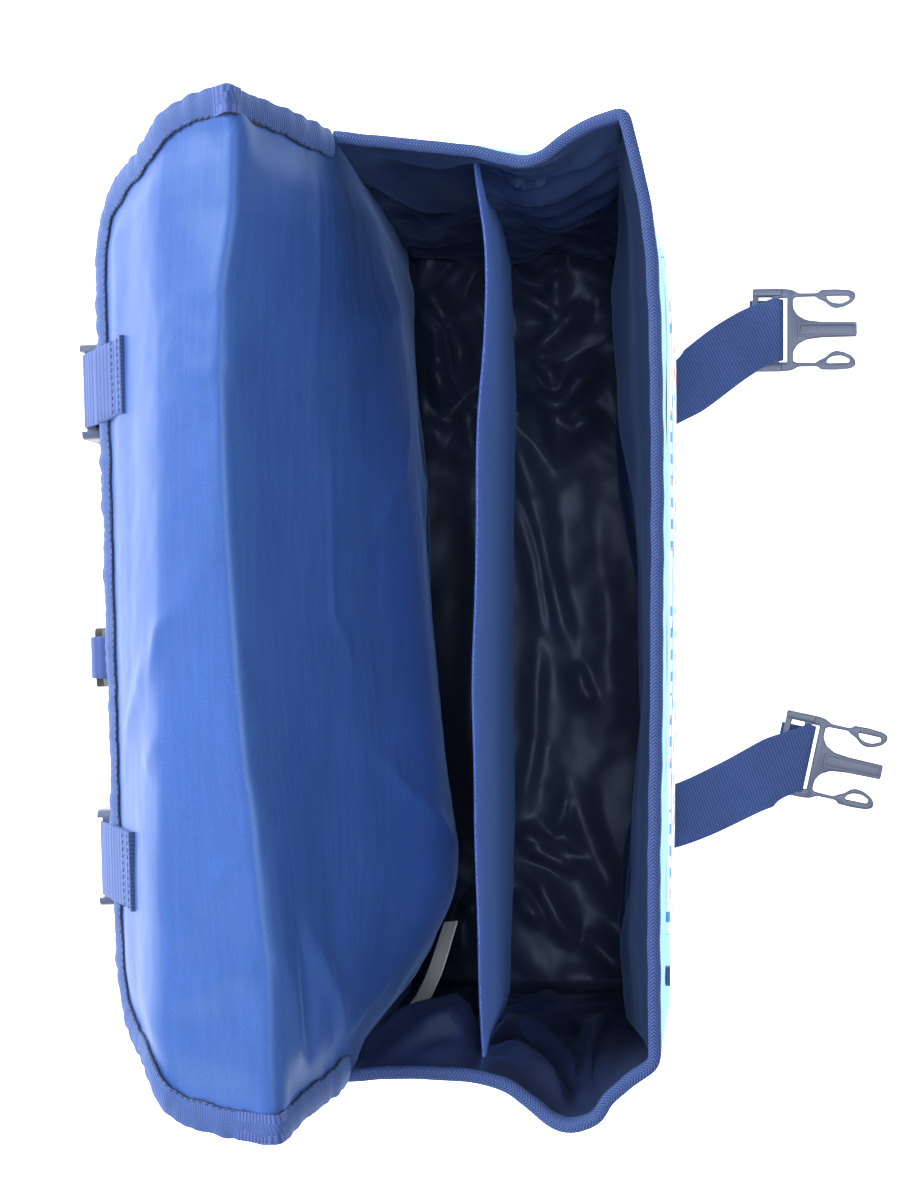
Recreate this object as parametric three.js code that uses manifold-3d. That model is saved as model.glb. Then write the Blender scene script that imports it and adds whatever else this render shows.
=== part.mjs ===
// A child's school satchel that stands open, its flap thrown back over the rear.
// Millimetres, +Z up, front towards -Y, width along X. The origin is the centre of the base on the floor.
import * as THREE from 'three';
import { mergeVertices } from 'three/addons/utils/BufferGeometryUtils.js';
import Module from 'manifold-3d';

const wasm = await Module();
wasm.setup();

// ---------------------------------------------------------------- driving sizes
const FOOT_Z = 0.4;            // lowest edge of the walls above the floor
const BASE_HALF_X = 184.6;     // half length of the flat base
const BASE_FRONT_Y = -59.6;    // front edge of the base
const BASE_BACK_Y = 63.6;      // back edge of the base
const BASE_T = 2.0;            // thickness of the base
const WALL_T = 1.5;            // outer cloth
const LINING_T = 1.0;          // lining cloth
const GAP = 0.3;               // each layer stays this far from the middle surface
const TAPE_T = 0.9;            // binding tape
const TAPE_ROOM = 0.5;         // room between tape and cloth
const RIM_TAPE_H = 9.0;        // how far the rim tape reaches down
const FLAP_TAPE_W = 10.0;      // how far the flap tape reaches in
const FLAP_T = 2.0;            // outer of flap and back
const DIVIDER_T = 3.0;         // divider board with its cloth
const DIVIDER_FOOT_Z = 5.0;
const RIM_PULL = 1.3;          // how soon the rim's shape shows, going up a wall
const SWELL_AT = 0.87;         // height share where a gusset swells below its tape
const SWELL_SPREAD = 0.09;
const CORNER_DOWN = 97;        // the flap's round corners reach this far up the flap
const CORNER_ACROSS_RIGHT = 64;
const CORNER_ACROSS_LEFT = 73;
const FLAP_LENGTH = 101;       // ridge to free edge, along the cloth
const WEB_W = 30;              // closure webbing
const WEB_T = 1.4;
const POCKET_T = 1.8;
const POCKET_SWELL = 1.6;

// ---------------------------------------------------------------- tables
// Walls, a row for each section along the wall. Foot is at the floor, rim at the top edge.
const LEFT = [ // back seam to front seam
  { name: 'back seam',  footX: -187, footY: 63,    rimX: -177,   rimY: 58,    rimZ: 250, swell: 0 },
  { name: 'rear',       footX: -187, footY: 38,    rimX: -175,   rimY: 36,    rimZ: 254, swell: 0 },
  { name: 'divider',    footX: -187, footY: 8,     rimX: -175,   rimY: 9,     rimZ: 258, swell: 0 },
  { name: 'pinch',      footX: -187, footY: -10,   rimX: -178,   rimY: -7,    rimZ: 263, swell: 0 },
  { name: 'fold out',   footX: -187, footY: -28,   rimX: -189.5, rimY: -26,   rimZ: 272, swell: 0 },
  { name: 'shoulder',   footX: -187, footY: -40,   rimX: -186,   rimY: -39,   rimZ: 277, swell: 0 },
  { name: 'dent',       footX: -187, footY: -49,   rimX: -177,   rimY: -45.5, rimZ: 279, swell: 0 },
  { name: 'front seam', footX: -187, footY: -58.2, rimX: -167,   rimY: -57.4, rimZ: 281, swell: 0 },
];
const RIGHT = [ // back seam to front seam
  { name: 'back seam',  footX: 187, footY: 63,    rimX: 187,   rimY: 63,    rimZ: 250, swell: 0 },
  { name: 'rear',       footX: 187, footY: 38,    rimX: 182.5, rimY: 37,    rimZ: 254, swell: 3 },
  { name: 'divider',    footX: 187, footY: 10,    rimX: 177.7, rimY: 9,     rimZ: 258, swell: 6 },
  { name: 'pinch',      footX: 187, footY: -14,   rimX: 172,   rimY: -14,   rimZ: 263, swell: 8 },
  { name: 'slope',      footX: 187, footY: -34,   rimX: 181.5, rimY: -32.5, rimZ: 274, swell: 3 },
  { name: 'front seam', footX: 187, footY: -57.6, rimX: 186.6, rimY: -45.6, rimZ: 281, swell: 0 },
];
const FRONT = [ // left seam to right seam
  { name: 'left seam',  footX: -187, footY: -62,   rimX: -163.5, rimY: -61.4, rimZ: 281, swell: 0 },
  { name: 'left',       footX: -112, footY: -62.2, rimX: -104,   rimY: -61,   rimZ: 282, swell: 0 },
  { name: 'middle',     footX: -20,  footY: -62.4, rimX: -20,    rimY: -62,   rimZ: 282, swell: 0 },
  { name: 'right',      footX: 80,   footY: -62.4, rimX: 78,     rimY: -62,   rimZ: 282, swell: 0 },
  { name: 'turn',       footX: 146,  footY: -62.2, rimX: 142,    rimY: -59.2, rimZ: 282, swell: 0 },
  { name: 'right seam', footX: 187,  footY: -61.6, rimX: 186.5,  rimY: -50,   rimZ: 281, swell: 0 },
];
// Back and flap, a row for each crosswise section, from the foot over the ridge to the free edge.
// skew turns the section, bow draws its middle into the bag, sag does so for the lining.
const BACK = [
  { name: 'foot',       y: 66,   z: FOOT_Z, left: -187, right: 187, skew: 1,   bow: 0, sag: 10 },
  { name: 'low',        y: 65,   z: 55,     left: -187, right: 187, skew: 1,   bow: 8, sag: 21 },
  { name: 'middle',     y: 63,   z: 130,    left: -186, right: 187, skew: 2,   bow: 8, sag: 16 },
  { name: 'upper',      y: 61.5, z: 205,    left: -182, right: 187.5, skew: 3,   bow: 5, sag: 8 },
  { name: 'gusset top', y: 61,   z: 250,    left: -178.5, right: 187.5, skew: 3.5, bow: 2, sag: 3 },
  { name: 'bend',       y: 67,   z: 274,    left: -181.5, right: 188.5, skew: 5, bow: 1, sag: 1 },
  { name: 'ridge',      y: 87.5, z: 306,    left: -191, right: 194, skew: 8.5, bow: 0, sag: 0 },
];
const FLAP = [
  { name: 'ridge', y: 87.5,  z: 306, left: -191, right: 194, skew: 8.5 },
  { name: 'fold',  y: 119.5, z: 289, left: -191, right: 194, skew: 1 },
  { name: 'lower', y: 138.2, z: 263, left: -191, right: 194, skew: 3.5 },
  { name: 'edge',  y: 155.6, z: 236, left: -191, right: 194, skew: 6.5 },
];
// Divider, a row for each upright section from left to right.
const DIVIDER = [
  { name: 'left end',  topY: 4.8, footY: 10,   topZ: 236 },
  { name: 'left',      topY: 8.4, footY: 10,   topZ: 240 },
  { name: 'middle',    topY: 9.7, footY: 10.5, topZ: 241 },
  { name: 'right',     topY: 8.9, footY: 10.5, topZ: 240 },
  { name: 'dip',       topY: 6.0, footY: 11,   topZ: 238 },
  { name: 'right end', topY: 8.6, footY: 12,   topZ: 236 },
];
// Closure straps as they lie on the floor. turn is the buckle's angle away from straight ahead.
const STRAPS = [
  { side: 'right', rootX: 113,   rootY: -65.2, rootDirX: 0.52, rootDirY: -0.85, barX: 141.9, barY: -115.5, endDirX: 0.25, endDirY: -0.97, turn: 0 },
  { side: 'left',  rootX: -96, rootY: -65.2, rootDirX: 0.36, rootDirY: -0.93, barX: -65.9, barY: -128.1, endDirX: 0.30, endDirY: -0.95, turn: 12 },
];
// Tabs on the flap's free edge: place across the width, webbing width, and how far the sewn end lies to one side.
const TABS = [
  { side: 'right', x: 92,  width: WEB_W, lean: 5 },
  { side: 'left',  x: -97, width: WEB_W, lean: -3 },
];
const RING_X = -16;

// ---------------------------------------------------------------- curves through the tables
const clamp = (v, lo, hi) => Math.min(hi, Math.max(lo, v));
function column(rows, key, t) { // smooth curve through one column, t from 0 to 1
  const n = rows.length - 1, s = clamp(t, 0, 1) * n, i = Math.min(Math.floor(s), n - 1), f = s - i;
  const p0 = rows[Math.max(i - 1, 0)][key], p1 = rows[i][key], p2 = rows[i + 1][key], p3 = rows[Math.min(i + 2, n)][key];
  return 0.5 * (2 * p1 + (p2 - p0) * f + (2 * p0 - 5 * p1 + 4 * p2 - p3) * f * f + (3 * p1 - p0 - 3 * p2 + p3) * f * f * f);
}
const V = (x, y, z) => new THREE.Vector3(x, y, z);

function wall(rows, outward) { // point of a wall: t along it, v up it
  return (t, v) => {
    const w = Math.pow(clamp(v, 0, 1), RIM_PULL);
    const fx = column(rows, 'footX', t), fy = column(rows, 'footY', t);
    const swell = column(rows, 'swell', t) * Math.exp(-(((v - SWELL_AT) / SWELL_SPREAD) ** 2));
    return V(
      fx + (column(rows, 'rimX', t) - fx) * w + outward * swell,
      fy + (column(rows, 'rimY', t) - fy) * w,
      FOOT_Z + (column(rows, 'rimZ', t) - FOOT_Z) * v);
  };
}
const leftWall = wall(LEFT, -1), rightWall = wall(RIGHT, 1), frontWall = wall(FRONT, 0);

function cornerInset(d, wide) { return d >= CORNER_DOWN ? 0 : wide * (1 - Math.sqrt(Math.max(0, 1 - (1 - d / CORNER_DOWN) ** 2))); }
function backFlap(draw) { // u across from left to right, v from 0 at the foot through 1 at the ridge to 2 at the free edge
  return (u, v) => {
    const rows = v <= 1 ? BACK : FLAP, t = v <= 1 ? v : v - 1;
    const d = v <= 1 ? Infinity : FLAP_LENGTH * (1 - t);
    const x0 = column(rows, 'left', t) + cornerInset(d, CORNER_ACROSS_LEFT);
    const x1 = column(rows, 'right', t) - cornerInset(d, CORNER_ACROSS_RIGHT);
    const x = x0 + (x1 - x0) * u, q = x / 190;
    const edge = Math.min(1, Math.abs(2 * u - 1));
    const bow = v <= 1 ? column(rows, draw, t) * (1 - edge ** 4) : 0;
    return V(x, column(rows, 'y', t) + column(rows, 'skew', t) * q - bow, column(rows, 'z', t));
  };
}
const outerSurface = backFlap('bow'), liningSurface = backFlap('sag');

function normalAt(S, u, at, h = 0.004) {
  const v = Math.abs(at - 1) < 0.008 ? 1 : at; // beside the ridge the cloth leans as the ridge itself does
  const side = (f, x) => {
    const a = f(x), out = V(0, 0, 0);
    const b = f(x + h).sub(a); if (b.lengthSq() > 1e-12) out.add(b.normalize());
    const c = a.clone().sub(f(x - h)); if (c.lengthSq() > 1e-12) out.add(c.normalize());
    return out;
  };
  const du = side((x) => S(x, v), u), dv = side((x) => S(u, x), v);
  return du.cross(dv).normalize();
}

// ---------------------------------------------------------------- solids
function geometry(points, index) {
  const g = new THREE.BufferGeometry();
  g.setAttribute('position', new THREE.Float32BufferAttribute(points.flatMap((p) => [p.x, p.y, p.z]), 3));
  let volume = 0;
  for (let i = 0; i < index.length; i += 3) {
    const [a, b, c] = [points[index[i]], points[index[i + 1]], points[index[i + 2]]];
    volume += a.dot(b.clone().cross(c));
  }
  if (volume < 0) for (let i = 0; i < index.length; i += 3) [index[i + 1], index[i + 2]] = [index[i + 2], index[i + 1]];
  g.setIndex(index);
  g.computeVertexNormals();
  return g;
}
// Cloth between two offsets of a surface. An offset is a number or a function of u and v.
function sheet(S, us, vs, low, high) {
  const at = (o, u, v) => (typeof o === 'function' ? o(u, v) : o);
  const points = [], n = us.length, m = vs.length;
  for (const side of [low, high])
    for (const v of vs) for (const u of us) points.push(S(u, v).addScaledVector(normalAt(S, u, v), at(side, u, v)));
  const id = (k, i, j) => k * n * m + j * n + i, index = [];
  const quad = (a, b, c, d) => index.push(a, b, c, a, c, d);
  for (let j = 0; j < m - 1; j++) for (let i = 0; i < n - 1; i++) {
    quad(id(1, i, j), id(1, i + 1, j), id(1, i + 1, j + 1), id(1, i, j + 1));
    quad(id(0, i, j), id(0, i, j + 1), id(0, i + 1, j + 1), id(0, i + 1, j));
  }
  for (let i = 0; i < n - 1; i++) {
    quad(id(0, i, 0), id(0, i + 1, 0), id(1, i + 1, 0), id(1, i, 0));
    quad(id(0, i + 1, m - 1), id(0, i, m - 1), id(1, i, m - 1), id(1, i + 1, m - 1));
  }
  for (let j = 0; j < m - 1; j++) {
    quad(id(0, 0, j + 1), id(0, 0, j), id(1, 0, j), id(1, 0, j + 1));
    quad(id(0, n - 1, j), id(0, n - 1, j + 1), id(1, n - 1, j + 1), id(1, n - 1, j));
  }
  return geometry(points, index);
}
// A flat section [e, n] carried along stations that each hold a point and two directions.
function loft(stations, section) {
  const points = [], k = section.length, index = [];
  for (const s of stations) for (const [e, n] of section)
    points.push(s.p.clone().addScaledVector(s.e, e).addScaledVector(s.n, n));
  for (let j = 0; j < stations.length - 1; j++) for (let i = 0; i < k; i++) {
    const a = j * k + i, b = j * k + (i + 1) % k;
    index.push(a, b, b + k, a, b + k, a + k);
  }
  const cap = THREE.ShapeUtils.triangulateShape(section.map(([e, n]) => new THREE.Vector2(e, n)), []);
  const turn = THREE.ShapeUtils.area(section.map(([e, n]) => new THREE.Vector2(e, n))) > 0;
  const last = (stations.length - 1) * k;
  for (const [a, b, c] of cap) {
    if (turn) { index.push(a, c, b, last + a, last + b, last + c); }
    else { index.push(a, b, c, last + a, last + c, last + b); }
  }
  return geometry(points, index);
}
// Tape folded over an edge: reach over the cloth, and the cloth's own two faces.
function tapeSection(reach, low, high, room = TAPE_ROOM) {
  const a = low - room, b = high + room;
  return [[-reach, b + TAPE_T], [0.4 + TAPE_T, b + TAPE_T], [0.4 + TAPE_T, a - TAPE_T], [-reach, a - TAPE_T],
    [-reach, a], [0.4, a], [0.4, b], [-reach, b]];
}
function steps(count, from = 0, to = 1) { return Array.from({ length: count + 1 }, (_, i) => from + (to - from) * i / count); }

function solid(g) { // closed mesh to a body that can be cut
  const c = g.clone(); c.deleteAttribute('normal'); c.deleteAttribute('uv');
  const m = mergeVertices(c, 1e-4);
  return new wasm.Manifold(new wasm.Mesh({ numProp: 3, vertProperties: new Float32Array(m.attributes.position.array), triVerts: new Uint32Array(m.index.array) }));
}
function fromSolid(s) {
  const m = s.getMesh(), g = new THREE.BufferGeometry();
  g.setAttribute('position', new THREE.BufferAttribute(new Float32Array(m.vertProperties), 3));
  g.setIndex(new THREE.BufferAttribute(new Uint32Array(m.triVerts), 1));
  g.computeVertexNormals();
  return g;
}
const block = (x0, x1, y0, y1, z0, z1) => solid(new THREE.BoxGeometry(x1 - x0, y1 - y0, z1 - z0).translate((x0 + x1) / 2, (y0 + y1) / 2, (z0 + z1) / 2));
function plate(outline, z0, z1) { // outline is a THREE.Shape in x and y
  return solid(new THREE.ExtrudeGeometry(outline, { depth: z1 - z0, bevelEnabled: false, curveSegments: 5 }).translate(0, 0, z0));
}
function roundedRect(x0, x1, y0, y1, r) {
  const s = new THREE.Shape();
  s.moveTo(x0 + r, y0); s.lineTo(x1 - r, y0); s.absarc(x1 - r, y0 + r, r, -Math.PI / 2, 0);
  s.lineTo(x1, y1 - r); s.absarc(x1 - r, y1 - r, r, 0, Math.PI / 2);
  s.lineTo(x0 + r, y1); s.absarc(x0 + r, y1 - r, r, Math.PI / 2, Math.PI);
  s.lineTo(x0, y0 + r); s.absarc(x0 + r, y0 + r, r, Math.PI, 1.5 * Math.PI);
  return s;
}
function outlineShape(rows) { const s = new THREE.Shape(); rows.forEach((r, i) => (i ? s.lineTo(r.b, r.a) : s.moveTo(r.b, r.a))); return s; }

const satchel = new THREE.Group();
satchel.name = 'school_bag';
const LOOK = {
  outer:   { color: 0x7cc4e6, roughness: 0.8, metalness: 0 },
  lining:  { color: 0x16285c, roughness: 0.4, metalness: 0 },
  matte:   { color: 0x26325f, roughness: 0.85, metalness: 0 },
  tape:    { color: 0x2b3f7c, roughness: 0.75, metalness: 0 },
  webbing: { color: 0x1d2c55, roughness: 0.8, metalness: 0 },
  plastic: { color: 0x27345a, roughness: 0.4, metalness: 0 },
  dark:    { color: 0x2a2d30, roughness: 0.45, metalness: 0 },
  print:   { color: 0xeef1f3, roughness: 0.8, metalness: 0 },
  label:   { color: 0xe8edf2, roughness: 0.7, metalness: 0 },
};
function add(name, g, look) {
  const mesh = new THREE.Mesh(g, new THREE.MeshStandardMaterial(LOOK[look]));
  mesh.name = name;
  satchel.add(mesh);
  return mesh;
}

// ---------------------------------------------------------------- walls and linings
const TAPE_V = 1 - RIM_TAPE_H / 265;                       // height share where the rim tape ends
const wallUps = [0, 0.2, 0.4, 0.58, 0.72, 0.82, 0.9, TAPE_V, 1];
const outer = [GAP, GAP + WALL_T], inner = [-GAP - LINING_T, -GAP];

add('base_panel', new THREE.BoxGeometry(2 * BASE_HALF_X, BASE_BACK_Y - BASE_FRONT_Y, BASE_T)
  .translate(0, (BASE_BACK_Y + BASE_FRONT_Y) / 2, BASE_T / 2), 'outer');
add('base_lining', new THREE.BoxGeometry(2 * BASE_HALF_X - 2, BASE_BACK_Y - BASE_FRONT_Y - 2, LINING_T)
  .translate(0, (BASE_BACK_Y + BASE_FRONT_Y) / 2, BASE_T + 0.4 + LINING_T / 2), 'lining');

function wallPair(name, S, ts, sign, tapeTs) {
  const flip = ([a, b]) => (sign > 0 ? [a, b] : [-b, -a]);
  add(`${name}_panel`.replace('side_left_panel', 'side_panel_left').replace('side_right_panel', 'side_panel_right'),
    sheet(S, ts, wallUps, ...flip(outer)), 'outer');
  add(`${name}_lining`.replace('side_left_lining', 'side_lining_left').replace('side_right_lining', 'side_lining_right'),
    sheet(S, ts, wallUps, ...flip(inner)), 'lining');
  const stations = tapeTs.map((t) => {
    const p = S(t, 1);
    return { p, e: p.clone().sub(S(t, TAPE_V)).normalize(), n: normalAt(S, t, 1).multiplyScalar(sign) };
  });
  add(`rim_binding_${name.replace('side_', '')}`, loft(stations, tapeSection(RIM_TAPE_H - 0.6, inner[0], outer[1])), 'tape');
}
// The gussets stop clear of the back lining.
const clearOfBack = (S) => (t, v) => {
  const p = S(t, v), root = S(0, v);
  const u = clamp((root.x + 187) / 374, 0, 1), up = clamp(root.z / 250, 0, 1) * 4 / 6;
  const room = Math.min(liningSurface(u, up).y, outerSurface(u, up).y) - 4.2 - root.y;
  p.y += Math.min(0, room) * (1 - clamp(t, 0, 1)) ** 6;
  return p;
};
const gussetSteps = steps(14);
wallPair('side_left', clearOfBack(leftWall), gussetSteps, 1, [0.02, ...gussetSteps.slice(1, -1), 0.955]);
wallPair('side_right', clearOfBack(rightWall), gussetSteps, -1, [0.02, ...gussetSteps.slice(1, -1), 0.965]);
wallPair('front', frontWall, steps(12), 1, [0.004, ...steps(12).slice(1, -1), 0.996]);

// ---------------------------------------------------------------- back, flap and their lining
const across = steps(12);
const backUps = [0, 1 / 6, 2 / 6, 3 / 6, 4 / 6, 0.75, 5 / 6, 0.9, 0.96, 1];
const flapUps = [0, 0.1, 0.2, 1 / 3, 0.45, 0.58, 2 / 3, 0.76, 0.85, 0.92, 0.97, 1].map((t) => 1 + t);
const low = [-GAP - FLAP_T, -GAP], high = [GAP, GAP + LINING_T];
add('back_panel', sheet(outerSurface, across, [...backUps.slice(0, -1), 0.9985], ...low), 'outer');
add('flap', sheet(outerSurface, across, [1.005, ...flapUps.slice(1)], ...low), 'outer');
add('flap_lining', sheet(liningSurface, across, [0.024, ...backUps.slice(1), ...flapUps.slice(1)], ...high), 'lining');

const edgePath = [];
for (const v of [0.86, 0.9, 0.96, 1, ...flapUps.slice(1)]) edgePath.push([0, v]);
for (const u of across.slice(1, -1)) edgePath.push([u, 2]);
for (const v of [...flapUps.slice(1).reverse(), 1, 0.96, 0.9, 0.86]) edgePath.push([1, v]);
const edgePoints = edgePath.map(([u, v]) => outerSurface(u, v));
const edgeStations = edgePath.map(([u, v], i) => {
  const t = edgePoints[Math.min(i + 1, edgePoints.length - 1)].clone().sub(edgePoints[i]).normalize()
    .add(edgePoints[i].clone().sub(edgePoints[Math.max(i - 1, 0)]).normalize());
  const n = normalAt(outerSurface, u, v);
  const ridge = outerSurface(u < 0.5 ? 0 : 1, 1).sub(outerSurface(u < 0.5 ? 0.1 : 0.9, 1)).normalize(); // along the crease
  return { p: edgePoints[i], e: v === 1 ? ridge : n.clone().cross(t).normalize(), n };
});
add('flap_binding', loft(edgeStations, tapeSection(FLAP_TAPE_W, low[0], high[1], 0.75)), 'tape');

// ---------------------------------------------------------------- divider
const insideLeft = clearOfBack(leftWall), insideRight = clearOfBack(rightWall);
function gussetX(S, y, z) { // x of a gusset's middle surface at a depth and height
  let a = 0, b = 1;
  const v = (t) => clamp((z - FOOT_Z) / (S(t, 1).z - FOOT_Z), 0, 1);
  for (let i = 0; i < 30; i++) { const m = (a + b) / 2; if (S(m, v(m)).y > y) a = m; else b = m; }
  return S(a, v(a)).x;
}
const dividerSurface = (u, v) => {
  const z = DIVIDER_FOOT_Z + (column(DIVIDER, 'topZ', u) - DIVIDER_FOOT_Z) * v;
  const y = column(DIVIDER, 'footY', u) + (column(DIVIDER, 'topY', u) - column(DIVIDER, 'footY', u)) * v;
  const x0 = gussetX(insideLeft, y, z) + 3.4, x1 = gussetX(insideRight, y, z) - 3.4;
  return V(x0 + (x1 - x0) * u, y, z);
};
add('divider', sheet(dividerSurface, steps(10), steps(5), -DIVIDER_T / 2, DIVIDER_T / 2), 'matte');

// ---------------------------------------------------------------- front pocket
const pocketSwell = (u, v) => GAP + WALL_T + 0.7 + POCKET_SWELL * Math.pow(Math.sin(Math.PI * clamp((u - 0.133) / 0.727, 0, 1)), 0.5) * Math.pow(Math.sin(Math.PI * clamp((v - 0.05) / 0.45, 0, 1)), 0.5);
add('front_pocket', sheet(frontWall, steps(12, 0.133, 0.86), steps(6, 0.05, 0.5), pocketSwell, (u, v) => pocketSwell(u, v) + POCKET_T), 'print');
const pocketCorner = frontWall(0.086, 0.492).addScaledVector(normalAt(frontWall, 0.086, 0.492), GAP + WALL_T + 1.4);
const tabMesh = add('pocket_tab', fromSolid(plate(roundedRect(-4, 4, -3.5, 3.5, 1), -1, 1)), 'webbing');
tabMesh.position.copy(pocketCorner);
tabMesh.rotation.set(Math.PI / 2, 0, 0);

// ---------------------------------------------------------------- care label
const labelRoot = V(-171, 46, 104), labelTip = V(-138, 36, 99), labelAcross = V(0.15, -0.5, 0.85).normalize();
const labelSurface = (u, v) => labelRoot.clone().lerp(labelTip, v).addScaledVector(labelAcross, 14 * (u - 0.5))
  .add(V(0, 1.2 * Math.sin(2 * Math.PI * v), 0));
add('care_label', sheet(labelSurface, [0, 1], steps(6), -0.5, 0.5), 'label');

// ---------------------------------------------------------------- closure straps and male buckles
const BAR_Z = 4.0, BAR_A = -7.2, WRAP_R = 2.95, TAIL = 13, TAIL_Z = 1.05;
function strapStations(row) {
  const turn = THREE.MathUtils.degToRad(row.turn);
  const axis = V(-Math.sin(turn), -Math.cos(turn), 0), ruling = V(Math.cos(turn), -Math.sin(turn), 0);
  const root = V(row.rootX, row.rootY, 0), bar = V(row.barX, row.barY, 0), span = root.distanceTo(bar);
  const curve = new THREE.CubicBezierCurve3(root, root.clone().add(V(row.rootDirX, row.rootDirY, 0).setLength(span * 0.36)),
    bar.clone().sub(V(row.endDirX, row.endDirY, 0).setLength(span * 0.36)), bar);
  const rise = (d) => { // height above the floor by the distance left to the bar
    const top = BAR_Z + WRAP_R, flat = 0.9;
    return flat + (top - flat) * THREE.MathUtils.smoothstep(46 - d, 0, 24);
  };
  const list = [];
  for (const s of [0, 0.15, 0.3, 0.42, 0.54, 0.66, 0.76, 0.85, 0.93, 1]) {
    const p = curve.getPoint(s), t = curve.getTangent(s), blend = THREE.MathUtils.smoothstep(s, 0.55, 0.95);
    const square = V(-t.y, t.x, 0).normalize(); if (square.dot(ruling) < 0) square.negate();
    const e = V(1, 0, 0).lerp(square, THREE.MathUtils.smoothstep(s, 0, 0.42)).lerp(ruling, blend).normalize();
    e.multiplyScalar(Math.min(1.06, 1 / e.dot(square))); // keeps the webbing's width where it runs askew
    p.z = rise(p.distanceTo(bar));
    list.push({ p, e });
  }
  for (const deg of [60, 30, 0, -30, -60, -90]) {
    const a = THREE.MathUtils.degToRad(deg);
    list.push({ p: bar.clone().addScaledVector(axis, WRAP_R * Math.cos(a)).setZ(BAR_Z + WRAP_R * Math.sin(a)), e: ruling.clone() });
  }
  for (const d of [5, TAIL]) list.push({ p: bar.clone().addScaledVector(axis, -d).setZ(TAIL_Z), e: ruling.clone() });
  list.forEach((s, i) => {
    const t = list[Math.min(i + 1, list.length - 1)].p.clone().sub(list[Math.max(i - 1, 0)].p).normalize();
    s.n = s.e.clone().cross(t).normalize();
  });
  return list;
}
const webSection = (w, t = WEB_T) => [[-w / 2, -t / 2], [w / 2, -t / 2], [w / 2, t / 2], [-w / 2, t / 2]];

// The male half lies in a and b: a from the webbing towards the tip, b across. Arm head outline, a row for each corner.
const HEAD = [{ b: 15.6, a: -0.5 }, { b: 17.6, a: -0.5 }, { b: 17.9, a: 11 }, { b: 19.6, a: 14 }, { b: 19.8, a: 24 }, { b: 18.6, a: 31.5 },
  { b: 16.6, a: 31.5 }, { b: 12.4, a: 27 }, { b: 10.2, a: 22 }, { b: 10.6, a: 17.5 }, { b: 13.2, a: 14 }, { b: 15.6, a: 11.5 }];
const HEAD_WINDOW = [{ b: 15, a: 17 }, { b: 17.6, a: 17.5 }, { b: 17.4, a: 26 }, { b: 15, a: 25 }, { b: 13.4, a: 22 }, { b: 13.4, a: 19 }];
const PRONG = [{ b: -7.4, a: 0.5 }, { b: 7.4, a: 0.5 }, { b: 4.2, a: 14.5 }, { b: 3.6, a: 31.5 }, { b: -3.6, a: 31.5 }, { b: -4.2, a: 14.5 }];
function maleBuckle() {
  const mirror = (rows) => rows.map((r) => ({ b: -r.b, a: r.a })).reverse();
  let s = plate(roundedRect(-20, 20, -18.2, 1.6, 1.2), 2.6, 5.4);
  s = s.subtract(block(-16.5, 16.5, -5.7, -1.6, 0, 9)).subtract(block(-16.5, 16.5, -15.2, -8.7, 0, 9));
  s = s.add(plate(roundedRect(16.5, 20.2, -18.2, 1.6, 1), 0.3, 5.8)).add(plate(roundedRect(-20.2, -16.5, -18.2, 1.6, 1), 0.3, 5.8));
  for (const rows of [HEAD, mirror(HEAD)]) s = s.add(plate(outlineShape(rows), 1.8, 5.4));
  for (const rows of [HEAD_WINDOW, mirror(HEAD_WINDOW)]) s = s.subtract(plate(outlineShape(rows), 0, 9));
  s = s.add(plate(outlineShape(PRONG), 1.8, 5.4));
  return s.subtract(block(-1.9, 1.9, 12, 29, 4.6, 9));
}
const male = fromSolid(maleBuckle());
for (const row of STRAPS) {
  add(`closure_strap_${row.side}`, loft(strapStations(row), webSection(WEB_W)), 'webbing');
  const turn = THREE.MathUtils.degToRad(row.turn);
  const m = add(`male_buckle_${row.side}`, male.clone(), 'plastic');
  // a points ahead (-Y) and the top stays up: half a turn about Z, then the buckle's own angle.
  m.rotation.set(0, 0, Math.PI - turn);
  m.position.set(row.barX + BAR_A * Math.sin(turn), row.barY + BAR_A * Math.cos(turn), 0);
}

// ---------------------------------------------------------------- tabs, female buckles and ring on the free edge
function edgeFrame(x) { // point on the free edge, downslope d, lining side n, across e
  const u = (x - outerSurface(0, 2).x) / (outerSurface(1, 2).x - outerSurface(0, 2).x);
  const p = outerSurface(u, 2), d = p.clone().sub(outerSurface(u, 1.9));
  const e = outerSurface(u + 0.05, 2).sub(outerSurface(u - 0.05, 2)).normalize();
  d.addScaledVector(e, -d.dot(e)).normalize();
  return { p, d, e, n: e.clone().cross(d).normalize() };
}
function hairpin(f, barA, barN, r, legIn, legOut, lean = 0) { // webbing round a bar, legs are rows of distances along d and n
  const list = legIn.map(([a, n]) => ({ a, n }));
  for (const deg of [70, 35, 0, -35, -70]) {
    const w = THREE.MathUtils.degToRad(deg);
    list.push({ a: barA + r * Math.cos(w), n: barN + r * Math.sin(w) });
  }
  for (const [a, n] of legOut) list.push({ a, n });
  const stations = list.map((s, i) => ({ p: f.p.clone().addScaledVector(f.d, s.a).addScaledVector(f.n, s.n)
    .addScaledVector(f.e, i < legIn.length ? lean * clamp(s.a / legIn[0][0], 0, 1) : 0), e: f.e }));
  stations.forEach((s, i) => {
    const t = stations[Math.min(i + 1, stations.length - 1)].p.clone().sub(stations[Math.max(i - 1, 0)].p).normalize();
    s.n = f.e.clone().cross(t).normalize();
  });
  return stations;
}
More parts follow.
